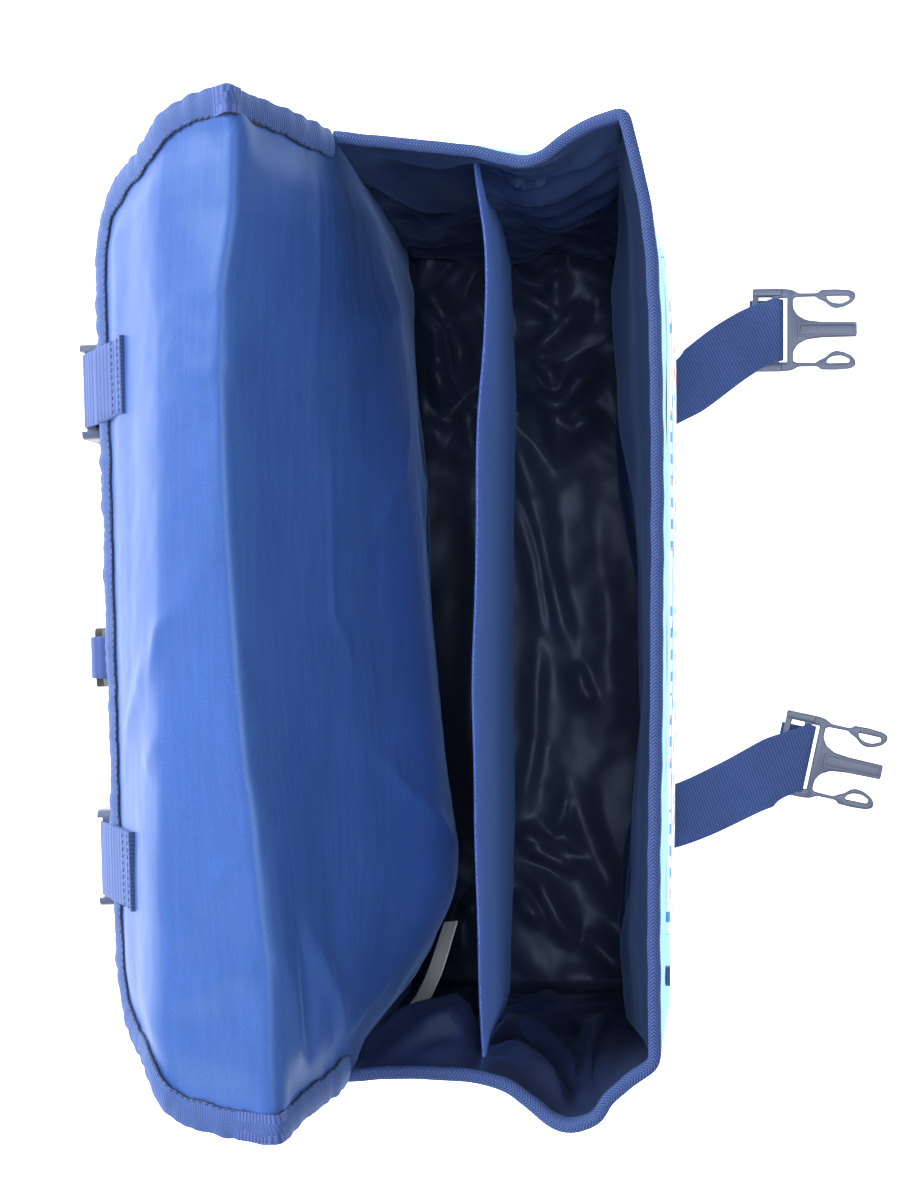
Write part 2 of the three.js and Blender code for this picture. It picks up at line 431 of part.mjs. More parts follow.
// Female half: x across, z down from the bar at 0, y through its thickness.
function femaleBuckle() {
  const g = new THREE.ExtrudeGeometry(roundedRect(-19.4, 19.4, -40, 1.6, 3), { depth: 9, bevelEnabled: false, curveSegments: 4 }).translate(0, 0, -4.5).rotateX(Math.PI / 2);
  let s = solid(g);
  s = s.subtract(block(-16.2, 16.2, -9, 9, -5.8, -1.5));
  s = s.subtract(block(-16.2, 16.2, 1.5, 9, -6.6, 9)).subtract(block(-16.2, 16.2, -9, -1.5, -6.6, 9));
  s = s.subtract(block(-17.2, 17.2, -3, 3, -41, -12));
  return s.subtract(block(-22, 22, -3, 3, -29, -16));
}
function ring() {
  let s = solid(new THREE.ExtrudeGeometry(roundedRect(-12, 12, -14, 1.5, 2), { depth: 3, bevelEnabled: false, curveSegments: 4 }).translate(0, 0, -1.5).rotateX(Math.PI / 2));
  return s.subtract(block(-9, 9, -9, 9, -11, -1.5));
}
const female = fromSolid(femaleBuckle()), ringGeometry = fromSolid(ring());
const TAB_BAR_A = 15, TAB_BAR_N = -0.65, LOOP_R = 3.0;
function hang(mesh, f, a, n) {
  mesh.position.copy(f.p).addScaledVector(f.d, a).addScaledVector(f.n, n);
  mesh.rotation.set(0, 0, Math.atan2(f.e.y, f.e.x));
}
for (const row of TABS) {
  const f = edgeFrame(row.x);
  add(`flap_tab_${row.side}`, loft(hairpin(f, TAB_BAR_A, TAB_BAR_N, LOOP_R,
    [[-30, 4.1], [-12, 4.1], [-1, 4.1], [6, 3.5], [11, 2.6]], [[11, -3.9], [6, -4.9], [-1, -5.3], [-20, -5.3]], row.lean), webSection(row.width)), 'webbing');
  hang(add(`female_buckle_${row.side}`, female.clone(), 'plastic'), f, TAB_BAR_A, TAB_BAR_N);
}
{
  const f = edgeFrame(RING_X);
  add('ring_tab', loft(hairpin(f, 16, 0, LOOP_R,
    [[-18, -5.5], [0, -5.7], [3, -5.0], [7, -1.6], [10.5, 2.2], [14, 3.4]], [[13.4, -3.7], [9, -5.2], [4, -7.3], [0, -7.9], [-16, -7.6]]), webSection(17)), 'webbing');
  hang(add('tab_ring', ringGeometry, 'dark'), f, 16, 0);
}

export default satchel;
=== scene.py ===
import math

import bpy
import numpy as np
from mathutils import Matrix, Vector


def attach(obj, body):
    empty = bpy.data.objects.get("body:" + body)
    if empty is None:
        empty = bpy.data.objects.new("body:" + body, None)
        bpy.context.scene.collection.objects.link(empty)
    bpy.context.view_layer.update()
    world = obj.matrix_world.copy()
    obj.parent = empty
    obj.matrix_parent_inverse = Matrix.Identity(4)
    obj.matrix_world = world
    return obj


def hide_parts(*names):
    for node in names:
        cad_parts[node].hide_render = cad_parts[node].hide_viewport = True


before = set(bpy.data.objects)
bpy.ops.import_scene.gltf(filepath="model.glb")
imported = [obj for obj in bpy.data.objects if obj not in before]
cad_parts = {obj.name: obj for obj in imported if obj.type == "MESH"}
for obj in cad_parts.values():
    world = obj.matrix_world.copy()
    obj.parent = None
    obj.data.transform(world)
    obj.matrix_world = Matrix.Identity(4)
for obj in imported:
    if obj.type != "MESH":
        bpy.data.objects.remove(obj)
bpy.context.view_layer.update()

MM = 0.001
scene = bpy.context.scene

# ------------------------------------------------------------------ camera, at the photograph's viewing angle
IMAGE_W, IMAGE_H = 900, 1200
FOCAL_PX = 2250.0
STRAIGHT_DOWN_PX = (695.0, 628.0)          # where the vertical lines of the bag meet
CAMERA_MM = (-4.0, -76.5, 1115.0)

down = np.array([STRAIGHT_DOWN_PX[0] - IMAGE_W / 2, -(STRAIGHT_DOWN_PX[1] - IMAGE_H / 2), -FOCAL_PX])
row_z = -down / np.linalg.norm(down)
row_x = np.array([0.0, 1.0, 0.0]) - row_z[1] * row_z
row_x /= np.linalg.norm(row_x)
row_y = np.cross(row_z, row_x)
camera = bpy.data.objects.new("camera", bpy.data.cameras.new("camera"))
scene.collection.objects.link(camera)
camera.matrix_world = Matrix.Translation(Vector(CAMERA_MM) * MM) @ Matrix([list(map(float, r)) for r in (row_x, row_y, row_z)]).to_4x4()
camera.data.sensor_width = 36.0
camera.data.lens = FOCAL_PX / IMAGE_H * 36.0
camera.data.clip_start = 0.02
scene.camera = camera

# ------------------------------------------------------------------ the bag's tables, in millimetres
FOOT_Z = 0.4
RIM_PULL = 1.3
SWELL_AT, SWELL_SPREAD = 0.87, 0.09
CORNER_DOWN, CORNER_RIGHT, CORNER_LEFT = 97.0, 64.0, 73.0
FLAP_LENGTH = 101.0

WALL_COLUMNS = ("foot_x", "foot_y", "rim_x", "rim_y", "rim_z", "swell")
LEFT = [  # back seam to front corner
    (-187, 64.5, -177.5, 58.2, 250, 0),
    (-187, 38, -175, 36, 254, 0),
    (-187, 8, -175, 9, 258, 0),
    (-187, -10, -178, -7, 263, 0),
    (-187, -28, -189.5, -26, 272, 0),
    (-187, -40, -186, -39, 277, 0),
    (-187, -49, -177, -45.5, 279, 0),
    (-187, -61.4, -164.8, -60.6, 281, 0),
]
RIGHT = [
    (187, 65.5, 187, 64, 250, 0),
    (187, 38, 182.5, 37, 254, 3),
    (187, 10, 177.7, 9, 258, 6),
    (187, -14, 172, -14, 263, 8),
    (187, -34, 181.5, -32.5, 274, 3),
    (187, -54.8, 186.6, -49.2, 281, 0),
]
FRONT = [  # left corner to right corner
    (-187, -62.0, -163.5, -61.4, 281, 0),
    (-112, -62.2, -104, -61, 282, 0),
    (-20, -62.4, -20, -62, 282, 0),
    (80, -62.4, 78, -62, 282, 0),
    (146, -62.2, 142, -59.2, 282, 0),
    (187, -55.4, 186.5, -50, 281, 0),
]
BACK_COLUMNS = ("y", "z", "left", "right", "skew", "bow", "sag")
BACK = [
    (66, FOOT_Z, -187, 187, 1, 0, 3),
    (65, 55, -187, 187, 1, 8, 11),
    (63, 130, -186, 187, 2, 8, 20),
    (61.5, 205, -182, 187.5, 3, 5, 25),
    (61, 250, -178.5, 187.5, 3.5, 2, 10),
    (67, 274, -181.5, 188.5, 5, 1, 1.5),
    (87.5, 306, -191, 194, 8.5, 0, 0),
]
FLAP = [
    (87.5, 306, -191, 194, 8.5, 0, 0),
    (119.5, 289, -191, 194, 1, 0, 0),
    (138.2, 263, -191, 194, 3.5, 0, 0),
    (155.6, 236, -191, 194, 6.5, 0, 0),
]
DIVIDER_COLUMNS = ("top_y", "foot_y", "top_z")
DIVIDER = [(5.7, 14.5, 236), (7.0, 13.6, 238), (7.8, 13.2, 239.5), (8.7, 12.9, 241), (9.5, 13, 241), (8.7, 13.2, 241), (8.4, 13, 240.5), (7.7, 12.6, 240),
           (5.4, 12.6, 238.5), (5.0, 13.8, 237), (9.7, 15, 236)]
RIDGE_X = [-190, -158, -129, -114, -100, -71, -56, -27, 2, 32, 61, 90, 120, 149, 178, 194]
RIDGE_SHIFT = [-4.4, -4.6, -5.4, -3.8, -3.0, -1.0, 1.4, 3.2, 4.4, 5.4, 5.4, 4.8, 3.0, -3.2, -5.2, -1.5]  # the ridge wanders where it was folded by hand


def column(rows, names, key, t):
    """Smooth curve through one column of a table, t from 0 to 1."""
    a = np.array([r[names.index(key)] for r in rows], float)
    n = len(a) - 1
    s = np.clip(np.asarray(t, float), 0, 1) * n
    i = np.minimum(s.astype(int), n - 1)
    f = s - i
    p0, p1, p2, p3 = a[np.maximum(i - 1, 0)], a[i], a[i + 1], a[np.minimum(i + 2, n)]
    return 0.5 * (2 * p1 + (p2 - p0) * f + (2 * p0 - 5 * p1 + 4 * p2 - p3) * f**2 + (3 * p1 - p0 - 3 * p2 + p3) * f**3)


def wall(rows, outward, t, v):
    """Points of a wall: t along it, v up it, both grids."""
    c = lambda key: column(rows, WALL_COLUMNS, key, t)
    w = np.clip(v, 0, 1) ** RIM_PULL
    swell = c("swell") * np.exp(-(((v - SWELL_AT) / SWELL_SPREAD) ** 2))
    return np.stack([c("foot_x") + (c("rim_x") - c("foot_x")) * w + outward * swell,
                     c("foot_y") + (c("rim_y") - c("foot_y")) * w,
                     FOOT_Z + (c("rim_z") - FOOT_Z) * v], -1)


def inset(d, wide, cut):
    """How far the side edge stands in at a distance d from the free edge: a round corner, flattened by cut."""
    return np.where(d >= CORNER_DOWN, 0, wide * (1 - np.sqrt(np.clip(1 - (1 - d / CORNER_DOWN) ** 2, 0, 1)))) + cut * np.exp(-(((d - 47) / 19) ** 2))


def back_flap(u, v, draw):
    """u across from left to right, v from 0 at the foot through 1 at the ridge to 2 at the free edge."""
    u, v = np.broadcast_arrays(np.asarray(u, float), np.asarray(v, float))
    on_back = v <= 1
    t = np.where(on_back, v, v - 1)
    c = lambda key: np.where(on_back, column(BACK, BACK_COLUMNS, key, t), column(FLAP, BACK_COLUMNS, key, t))
    d = np.where(on_back, 1e9, FLAP_LENGTH * (1 - t))
    x0, x1 = c("left") + inset(d, CORNER_LEFT, 9.0), c("right") - inset(d, CORNER_RIGHT, 6.0)
    x = x0 + (x1 - x0) * u
    side = np.minimum(1, np.abs(2 * u - 1))
    if draw == "sag":  # the lining hangs fuller towards the left end
        k = np.clip((side - 0.55) / 0.45, 0, 1)
        profile = np.where(u < 0.5, (1 - k * k * (3 - 2 * k)) * (1 + 1.45 * (0.5 - u)), (1 - side**3) * (1 - 0.5 * (u - 0.5)))
    else:
        profile = 1 - side**4
    bow = np.where(on_back, c(draw) * profile, 0)
    near_ridge = np.where(on_back, np.clip((v - 5 / 6) * 6, 0, 1), np.clip(1 - 3 * t, 0, 1))
    return np.stack([x, c("y") + c("skew") * x / 190 - bow + np.interp(x, RIDGE_X, RIDGE_SHIFT) * near_ridge, c("z")], -1)


# ------------------------------------------------------------------ noise and folds
def noise(x, y, seed=0):
    """Smooth gradient noise from about -1 to 1."""
    x, y = np.asarray(x, float), np.asarray(y, float)
    xi, yi = np.floor(x).astype(np.int64), np.floor(y).astype(np.int64)
    xf, yf = x - xi, y - yi

    def corner(dx, dy):
        h = ((xi + dx) * 374761393 + (yi + dy) * 668265263 + seed * 974711) & 0xFFFFFFFF
        h = ((h ^ (h >> 13)) * 1274126177) & 0xFFFFFFFF
        a = ((h ^ (h >> 16)) & 0xFFFF) / 65536.0 * 2 * np.pi
        return np.cos(a) * (xf - dx) + np.sin(a) * (yf - dy)

    s, t = xf**3 * (xf * (xf * 6 - 15) + 10), yf**3 * (yf * (yf * 6 - 15) + 10)
    low = corner(0, 0) * (1 - s) + corner(1, 0) * s
    high = corner(0, 1) * (1 - s) + corner(1, 1) * s
    return 1.5 * (low * (1 - t) + high * t)


def crumple(x, y, size, seed, octaves=2, warp=0.6):
    """Bunched cloth: rounded tops between sharp valleys, from 0 to about 1."""
    wx, wy = noise(x / size / 1.6, y / size / 1.6, seed + 50), noise(x / size / 1.6, y / size / 1.6, seed + 51)
    total, weight, f = 0.0, 0.0, 1.0
    for k in range(octaves):
        n = noise((x / size + warp * wx) * f, (y / size + warp * wy) * f, seed + k)
        total = total + np.minimum(1, np.abs(n) * 1.5) ** 0.75 / f**1.3
        weight += 1 / f**1.3
        f *= 2.1
    return total / weight


def fold(a, b, points, width, height, sharp=1.0, ends=0.35):
    """A fold of that height over a polyline in the cloth's own coordinates a and b. sharp 1 is round, 0.5 is a crease."""
    points = np.array(points, float)
    best = np.full(np.shape(a), 1e9)
    along = np.zeros(np.shape(a))
    lengths = np.linalg.norm(np.diff(points, axis=0), axis=1)
    total, done = lengths.sum(), 0.0
    for p, q, l in zip(points[:-1], points[1:], lengths):
        t = np.clip(((a - p[0]) * (q[0] - p[0]) + (b - p[1]) * (q[1] - p[1])) / l**2, 0, 1)
        d = np.hypot(a - p[0] - t * (q[0] - p[0]), b - p[1] - t * (q[1] - p[1]))
        near = d < best
        best = np.where(near, d, best)
        along = np.where(near, (done + t * l) / total, along)
        done += l
    fade = np.clip(np.minimum(along, 1 - along) / ends, 0, 1)
    fade = fade * fade * (3 - 2 * fade)
    return height * np.exp(-((best / width) ** (2 * sharp))) * (0.15 + 0.85 * fade)


# ------------------------------------------------------------------ meshes
def normals(P):
    du = np.gradient(P, axis=1)
    dv = np.gradient(P, axis=0)
    du /= np.linalg.norm(du, axis=-1, keepdims=True) + 1e-12
    dv /= np.linalg.norm(dv, axis=-1, keepdims=True) + 1e-12
    n = np.cross(du, dv)
    return n / (np.linalg.norm(n, axis=-1, keepdims=True) + 1e-12)


def mesh_object(name, verts, faces, uv, material, sharp_deg=48):
    me = bpy.data.meshes.new(name)
    me.from_pydata((np.asarray(verts, float) * MM).tolist(), [], [list(map(int, f)) for f in faces])
    if uv is not None:
        layer = me.uv_layers.new(name="UVMap")
        index = np.empty(len(me.loops), dtype=np.int32)
        me.loops.foreach_get("vertex_index", index)
        layer.data.foreach_set("uv", (np.asarray(uv, float)[index] * MM).astype(np.float32).ravel())
    me.polygons.foreach_set("use_smooth", np.ones(len(me.polygons), dtype=bool))
    me.update()
    if sharp_deg:
        me.set_sharp_from_angle(angle=math.radians(sharp_deg))
    me.materials.append(material)
    ob = bpy.data.objects.new(name, me)
    scene.collection.objects.link(ob)
    return ob


def slab(name, P, low, high, uv, material, N=None, sharp_deg=48):
    """Closed cloth between two offsets of a grid of points, all in millimetres."""
    N = normals(P) if N is None else N
    m, n = P.shape[:2]
    A = P + N * np.broadcast_to(np.asarray(low, float), (m, n))[..., None]
    B = P + N * np.broadcast_to(np.asarray(high, float), (m, n))[..., None]
    i = np.arange(m * n).reshape(m, n)
    k = m * n
    quads = [np.stack([i[:-1, :-1], i[:-1, 1:], i[1:, 1:], i[1:, :-1]], -1).reshape(-1, 4) + k,
             np.stack([i[:-1, :-1], i[1:, :-1], i[1:, 1:], i[:-1, 1:]], -1).reshape(-1, 4),
             np.stack([i[0, :-1], i[0, 1:], i[0, 1:] + k, i[0, :-1] + k], -1),
             np.stack([i[-1, 1:], i[-1, :-1], i[-1, :-1] + k, i[-1, 1:] + k], -1),
             np.stack([i[1:, 0], i[:-1, 0], i[:-1, 0] + k, i[1:, 0] + k], -1),
             np.stack([i[:-1, -1], i[1:, -1], i[1:, -1] + k, i[:-1, -1] + k], -1)]
    uv = np.asarray(uv, float).reshape(-1, 2)
    return mesh_object(name, np.concatenate([A.reshape(-1, 3), B.reshape(-1, 3)]), np.concatenate(quads), np.concatenate([uv, uv]), material, sharp_deg)


def loft(name, P, E, N, section, material, along=None, across=None, sharp_deg=48, cap=True, heading=None):
    """A closed section (k, 2) or (m, k, 2) of e and n carried along m stations."""
    m = len(P)
    section = np.broadcast_to(np.asarray(section, float), (m,) + np.shape(section)[-2:])
    k = section.shape[1]
    verts = P[:, None] + E[:, None] * section[..., :1] + N[:, None] * section[..., 1:]
    i = np.arange(m * k).reshape(m, k)
    j = np.roll(i, -1, axis=1)
    faces = np.stack([i[:-1], j[:-1], j[1:], i[1:]], -1).reshape(-1, 4).tolist()
    if cap:
        faces += [i[0, ::-1].tolist(), i[-1].tolist()]
    s = np.concatenate([[0], np.cumsum(np.linalg.norm(np.diff(P, axis=0), axis=1))]) if along is None else along
    w = section[..., 0] if across is None else np.broadcast_to(across, (m, k))
    uv = np.stack([np.broadcast_to(s[:, None], (m, k)), w], -1).reshape(-1, 2)
    verts = verts.reshape(-1, 3)
    if heading is not None:  # ribs laid square to one heading on the floor
        uv = np.stack([verts[:, 0] * heading[0] + verts[:, 1] * heading[1], verts[:, 1] * heading[0] - verts[:, 0] * heading[1]], -1)
    a, b, c = (verts[[f[q] for f in faces]] for q in range(3))
    if np.einsum("ij,ij->i", a - verts.mean(0), np.cross(b - verts.mean(0), c - verts.mean(0))).sum() < 0:
        faces = [f[::-1] for f in faces]
    return mesh_object(name, verts, faces, uv, material, sharp_deg)


def resample(P, step):
    """The same line with evenly spaced points."""
    d = np.concatenate([[0], np.cumsum(np.linalg.norm(np.diff(P, axis=0), axis=1))])
    t = np.linspace(0, d[-1], max(2, int(round(d[-1] / step)) + 1))
    return np.stack([np.interp(t, d, P[:, k]) for k in range(3)], -1), t


def unit(v):
    return v / (np.linalg.norm(v, axis=-1, keepdims=True) + 1e-12)


def piece(ob, slot, *nodes):
    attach(ob, "root")
    if nodes:
        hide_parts(*nodes)
    return ob


# ------------------------------------------------------------------ materials
class Mat:
    def __init__(self, name, color, roughness):
        self.m = bpy.data.materials.new(name)
        self.m.use_nodes = True
        self.t = self.m.node_tree
        self.b = self.t.nodes["Principled BSDF"]
        self.b.inputs["Base Color"].default_value = (*color, 1)
        self.b.inputs["Roughness"].default_value = roughness
        self.m.diffuse_color = (*color, 1)
        self._xyz = None

    def put(self, socket, value):
        if isinstance(value, bpy.types.NodeSocket):
            self.t.links.new(value, socket)
        else:
            socket.default_value = value

    def uv(self):
        """x and y of the cloth in metres, as two sockets."""
        if self._xyz is None:
            c = self.t.nodes.new("ShaderNodeTexCoord")
            s = self.t.nodes.new("ShaderNodeSeparateXYZ")
            self.t.links.new(c.outputs["UV"], s.inputs[0])
            self._xyz = (s.outputs[0], s.outputs[1], c.outputs["UV"], c.outputs["Object"])
        return self._xyz

    def math(self, op, a, b=0.0, c=None):
        n = self.t.nodes.new("ShaderNodeMath")
        n.operation = op
        self.put(n.inputs[0], a)
        self.put(n.inputs[1], b)
        if c is not None:
            self.put(n.inputs[2], c)
        return n.outputs[0]

    def sine(self, x, period, shift=0.0):
        """0 to 1 wave."""
        return self.math("MULTIPLY_ADD", self.math("SINE", self.math("MULTIPLY_ADD", x, 2 * math.pi / period, shift)), 0.5, 0.5)

    def noise(self, vector, scale, detail=3.0, rough=0.55, stretch=None):
        if stretch is not None:
            mp = self.t.nodes.new("ShaderNodeMapping")
            mp.inputs["Scale"].default_value = stretch
            self.put(mp.inputs["Vector"], vector)
            vector = mp.outputs[0]
        n = self.t.nodes.new("ShaderNodeTexNoise")
        self.put(n.inputs["Vector"], vector)
        n.inputs["Scale"].default_value = scale
        n.inputs["Detail"].default_value = detail
        n.inputs["Roughness"].default_value = rough
        return n.outputs["Fac"]

    def ramp(self, fac, *stops):
        n = self.t.nodes.new("ShaderNodeValToRGB")
        e = n.color_ramp.elements
        while len(e) < len(stops):
            e.new(0.5)
        for el, (p, c) in zip(e, stops):
            el.position, el.color = p, (*c, 1)
        self.put(n.inputs[0], fac)
        return n.outputs[0]

    def mix(self, fac, a, b, kind="MIX"):
        n = self.t.nodes.new("ShaderNodeMix")
        n.data_type, n.blend_type = "RGBA", kind
        self.put(n.inputs["Factor"], fac)
        for key, v in ((6, a), (7, b)):
            if isinstance(v, bpy.types.NodeSocket):
                self.t.links.new(v, n.inputs[key])
            else:
                n.inputs[key].default_value = (*v, 1)
        return n.outputs[2]

    def color(self, socket):
        self.t.links.new(socket, self.b.inputs["Base Color"])

    def rough(self, socket):
        self.t.links.new(socket, self.b.inputs["Roughness"])

    def bump(self, height, distance_mm, strength=1.0):
        n = self.t.nodes.new("ShaderNodeBump")
        n.inputs["Strength"].default_value = strength
        n.inputs["Distance"].default_value = distance_mm * MM
        self.t.links.new(height, n.inputs["Height"])
        if self.b.inputs["Normal"].is_linked:
            self.t.links.new(self.b.inputs["Normal"].links[0].from_socket, n.inputs["Normal"])
        self.t.links.new(n.outputs[0], self.b.inputs["Normal"])

    def sheen(self, weight, rough, tint):
        self.set(sheen_weight=weight, sheen_roughness=rough)
        self.b.inputs["Sheen Tint"].default_value = (*tint, 1)

    def set(self, **values):
        for key, v in values.items():
            self.b.inputs[key.replace("_", " ").title().replace("Ior", "IOR")].default_value = v
        return self


def shade(c, k):
    return tuple(min(1.0, x * k) for x in c)


def outer_cloth(name="outer_cloth", k=1.0):
    # k below 1 gives a darker copy of the cloth: painted shade
    m = Mat(name, (0.36 * k, 0.76 * k, 0.93 * k), 0.85)
    x, y, uv, _ = m.uv()
    weave = m.math("MULTIPLY", m.sine(x, 0.0009), m.sine(y, 0.0009))
    cloud = m.noise(uv, 60, 4)
    slub = m.noise(uv, 900, 2, stretch=(1, 0.12, 1))
    base = m.ramp(cloud, (0.3, shade((0.34, 0.74, 0.92), k)), (0.7, shade((0.41, 0.80, 0.95), k)))
    base = m.mix(m.math("MULTIPLY", weave, 0.25), base, shade((0.22, 0.58, 0.80), k))
    m.color(m.mix(m.math("MULTIPLY", slub, 0.25), base, shade((0.62, 0.86, 0.97), k)))
    m.bump(weave, 0.12, 0.8)
    m.bump(slub, 0.10, 0.4)
    m.sheen(0.15, 0.5, (0.40, 0.88, 1.0))
    m.set(specular_ior_level=0.05)
    return m.m


TAFFETA = (0.0305, 0.0835, 0.2980)
# painted shade: a much darker copy of the taffeta, for the shade inside the bag
INSIDE_SHADED_TAFFETA = (0.0115, 0.0200, 0.0520)


def taffeta(name, c, rough, specular, sheen, tint, corner=False):
    m = Mat(name, c, rough)
    x, y, uv, _ = m.uv()
    threads = m.noise(uv, 700, 2, stretch=(0.18, 1, 1))
    cloud = m.noise(uv, 26, 3)
    base = m.ramp(cloud, (0.25, shade(c, 0.90)), (0.75, shade(c, 1.08)))
    base = m.mix(m.math("MULTIPLY", threads, 0.22), base, shade(c, 1.45))
    if corner:  # painted shade: the cloth is darkened in the right corner of the back, where that corner lies in shade
        across = m.math("MINIMUM", m.math("MAXIMUM", m.math("MULTIPLY_ADD", x, 1 / 0.095, -0.055 / 0.095), 0.0), 1.0)
        down = m.math("MINIMUM", m.math("MAXIMUM", m.math("MULTIPLY_ADD", y, -1 / 0.036, -0.034 / 0.036), 0.0), 1.0)
        base = m.mix(m.math("MULTIPLY", across, down), base, shade(c, 0.34))
        streak = m.noise(uv, 420, 3, 0.6, stretch=(0.07, 1, 1))  # long fine streaks of the weave
        base = m.mix(m.ramp(streak, (0.42, (0, 0, 0)), (0.66, (0.30, 0.30, 0.30))), base, shade(c, 1.5))
    grain = m.noise(uv, 1150, 2, 0.7)
    m.color(m.mix(m.ramp(grain, (0.35, (0, 0, 0)), (0.65, (0.5, 0.5, 0.5))), base, shade(c, 0.70)))
    m.rough(m.math("MULTIPLY_ADD", threads, 0.10, rough - 0.05))
    m.bump(m.noise(uv, 120, 3), 0.35, 0.22)
    m.bump(threads, 0.05, 0.5)
    m.set(specular_ior_level=specular)
    m.sheen(sheen, 0.35, (0.27, 0.46, 1.0))
    m.b.inputs["Specular Tint"].default_value = (*tint, 1)
    return m.m


def matte_cloth():
    c = (0.096, 0.180, 0.70)
    m = Mat("divider_cloth", c, 0.88)
    x, y, uv, _ = m.uv()
    weave = m.math("MULTIPLY", m.sine(x, 0.0011), m.sine(y, 0.0011))
    cloud = m.noise(uv, 70, 4)
    base = m.ramp(cloud, (0.3, shade(c, 0.86)), (0.7, shade(c, 1.16)))
    grain = m.noise(uv, 1000, 2, 0.65)
    base = m.mix(m.ramp(grain, (0.36, (0.75, 0.75, 0.75)), (0.52, (0, 0, 0))), base, shade(c, 0.42))
    base = m.mix(m.ramp(grain, (0.50, (0, 0, 0)), (0.66, (0.7, 0.7, 0.7))), base, shade(c, 2.0))
    m.color(base)
    m.bump(weave, 0.10, 0.7)
    m.bump(grain, 0.12, 0.5)
    m.sheen(0.45, 0.5, (0.17, 0.37, 1.0))
    return m.m


def ribbed(name, c, pitch, slant, light=1.5, dark=0.6, rough=0.7, fine=0.0012, depth=0.22, streaks=0.0, chevron=False):
    """Tape or webbing: ribs across its length, threads along it. x runs along the tape, y across."""
    m = Mat(name, c, rough)
    x, y, uv, _ = m.uv()
    lean = m.math("ABSOLUTE", y) if chevron else y
    ribs = m.sine(m.math("MULTIPLY_ADD", lean, slant, x), pitch)
    threads = m.sine(y, fine)
    tone = m.noise(uv, 130, 3)
    # painted highlight on the rib crests and painted shade in the rib grooves, on top of the ribs' bump
    base = m.ramp(ribs, (0.0, shade(c, dark)), (0.5, c), (1.0, shade(c, light)))
    base = m.mix(m.math("MULTIPLY", threads, 0.45), base, shade(c, 0.62))
    base = m.mix(m.math("MULTIPLY", tone, 0.35), base, shade(c, 1.35))
    if streaks:  # painted highlights on pleats across the tape, with a bump on them
        pleat = m.math("POWER", m.noise(uv, 190, 2, stretch=(1, 0.12, 1)), 3.0)
        base = m.mix(m.math("MULTIPLY", pleat, streaks), base, shade(c, 2.1))
        m.bump(pleat, 0.5, 0.5)
    m.color(base)
    m.bump(ribs, depth, 0.9)
    m.bump(threads, 0.08, 0.5)
    m.sheen(0.25, 0.45, (0.30, 0.52, 1.0))
    return m.m


def plastic(name, c, rough, speck=1.12):
    m = Mat(name, c, rough)
    _, _, _, ob = m.uv()
    grain = m.noise(ob, 1800, 3)
    cloud = m.noise(ob, 90, 3)
    m.color(m.mix(cloud, shade(c, 0.9), shade(c, speck)))
    m.rough(m.math("MULTIPLY_ADD", grain, 0.14, rough - 0.07))
    m.bump(grain, 0.03, 0.5)
    m.set(specular_ior_level=0.5)
    return m.m


def printed():
    """White pocket cloth with small generic marks: rows of dashes, dots and short bars."""
    m = Mat("pocket_print", (0.86, 0.90, 0.93), 0.82)
    x, y, uv, _ = m.uv()
    weave = m.math("MULTIPLY", m.sine(x, 0.0009), m.sine(y, 0.0009))
    white = m.ramp(m.noise(uv, 60, 3), (0.3, (0.80, 0.85, 0.89)), (0.7, (0.88, 0.91, 0.94)))

    def frac(s, size, shift=0.0):
        return m.math("FRACT", m.math("MULTIPLY_ADD", s, 1 / size, shift))

    def between(s, lo, hi):
        return m.math("MULTIPLY", m.math("GREATER_THAN", s, lo), m.math("LESS_THAN", s, hi))

    def dots(px, py, r, sx=0.0, sy=0.0):
        a = m.math("SUBTRACT", frac(x, px, sx), 0.5)
        b = m.math("SUBTRACT", frac(y, py, sy), 0.5)
        d = m.math("ADD", m.math("POWER", m.math("MULTIPLY", a, px * 1000), 2), m.math("POWER", m.math("MULTIPLY", b, py * 1000), 2))
        return m.math("LESS_THAN", d, r * r)

    group = m.noise(uv, 22, 1, stretch=(1, 0.0, 1))           # marks come in groups along the pocket
    band = frac(y, 0.042)
    dash = m.math("MULTIPLY", between(band, 0.08, 0.36), between(frac(x, 0.0094), 0.12, 0.58))
    dash = m.math("MULTIPLY", dash, m.math("GREATER_THAN", group, 0.46))
    bars = m.math("MULTIPLY", between(band, 0.50, 0.86), between(frac(x, 0.0105), 0.2, 0.5))
    bars = m.math("MULTIPLY", bars, m.math("LESS_THAN", group, 0.52))
    blue = m.mix(m.noise(uv, 35, 2), (0.03, 0.17, 0.55), (0.12, 0.42, 0.78))
    blue = m.mix(m.math("GREATER_THAN", m.noise(uv, 62, 1, stretch=(1, 0.0, 1)), 0.56), blue, (0.84, 0.33, 0.26))
    c = m.mix(dash, white, blue)
    c = m.mix(bars, c, m.mix(m.math("GREATER_THAN", m.noise(uv, 48, 1, stretch=(1, 0.4, 1)), 0.5), (0.20, 0.58, 0.82), (0.84, 0.33, 0.26)))
    c = m.mix(between(frac(y, 0.127, -0.07), 0.955, 0.995), c, (0.16, 0.48, 0.78))
    c = m.mix(dots(0.033, 0.042, 4.2, 0.2, -0.20), c, (0.86, 0.27, 0.19))
    c = m.mix(dots(0.033, 0.042, 3.0, 0.62, -0.62), c, (0.05, 0.20, 0.56))
    m.color(c)
    m.bump(weave, 0.12, 0.7)
    return m.m


def label_cloth():
    m = Mat("label_cloth", (0.80, 0.86, 0.93), 0.5)
    x, y, uv, _ = m.uv()
    threads = m.noise(uv, 1500, 2, stretch=(0.15, 1, 1))
    m.color(m.mix(threads, (0.84, 0.89, 0.95), (0.94, 0.96, 0.98)))
    m.bump(threads, 0.05, 0.5)
    m.set(sheen_weight=0.2)
    return m.m
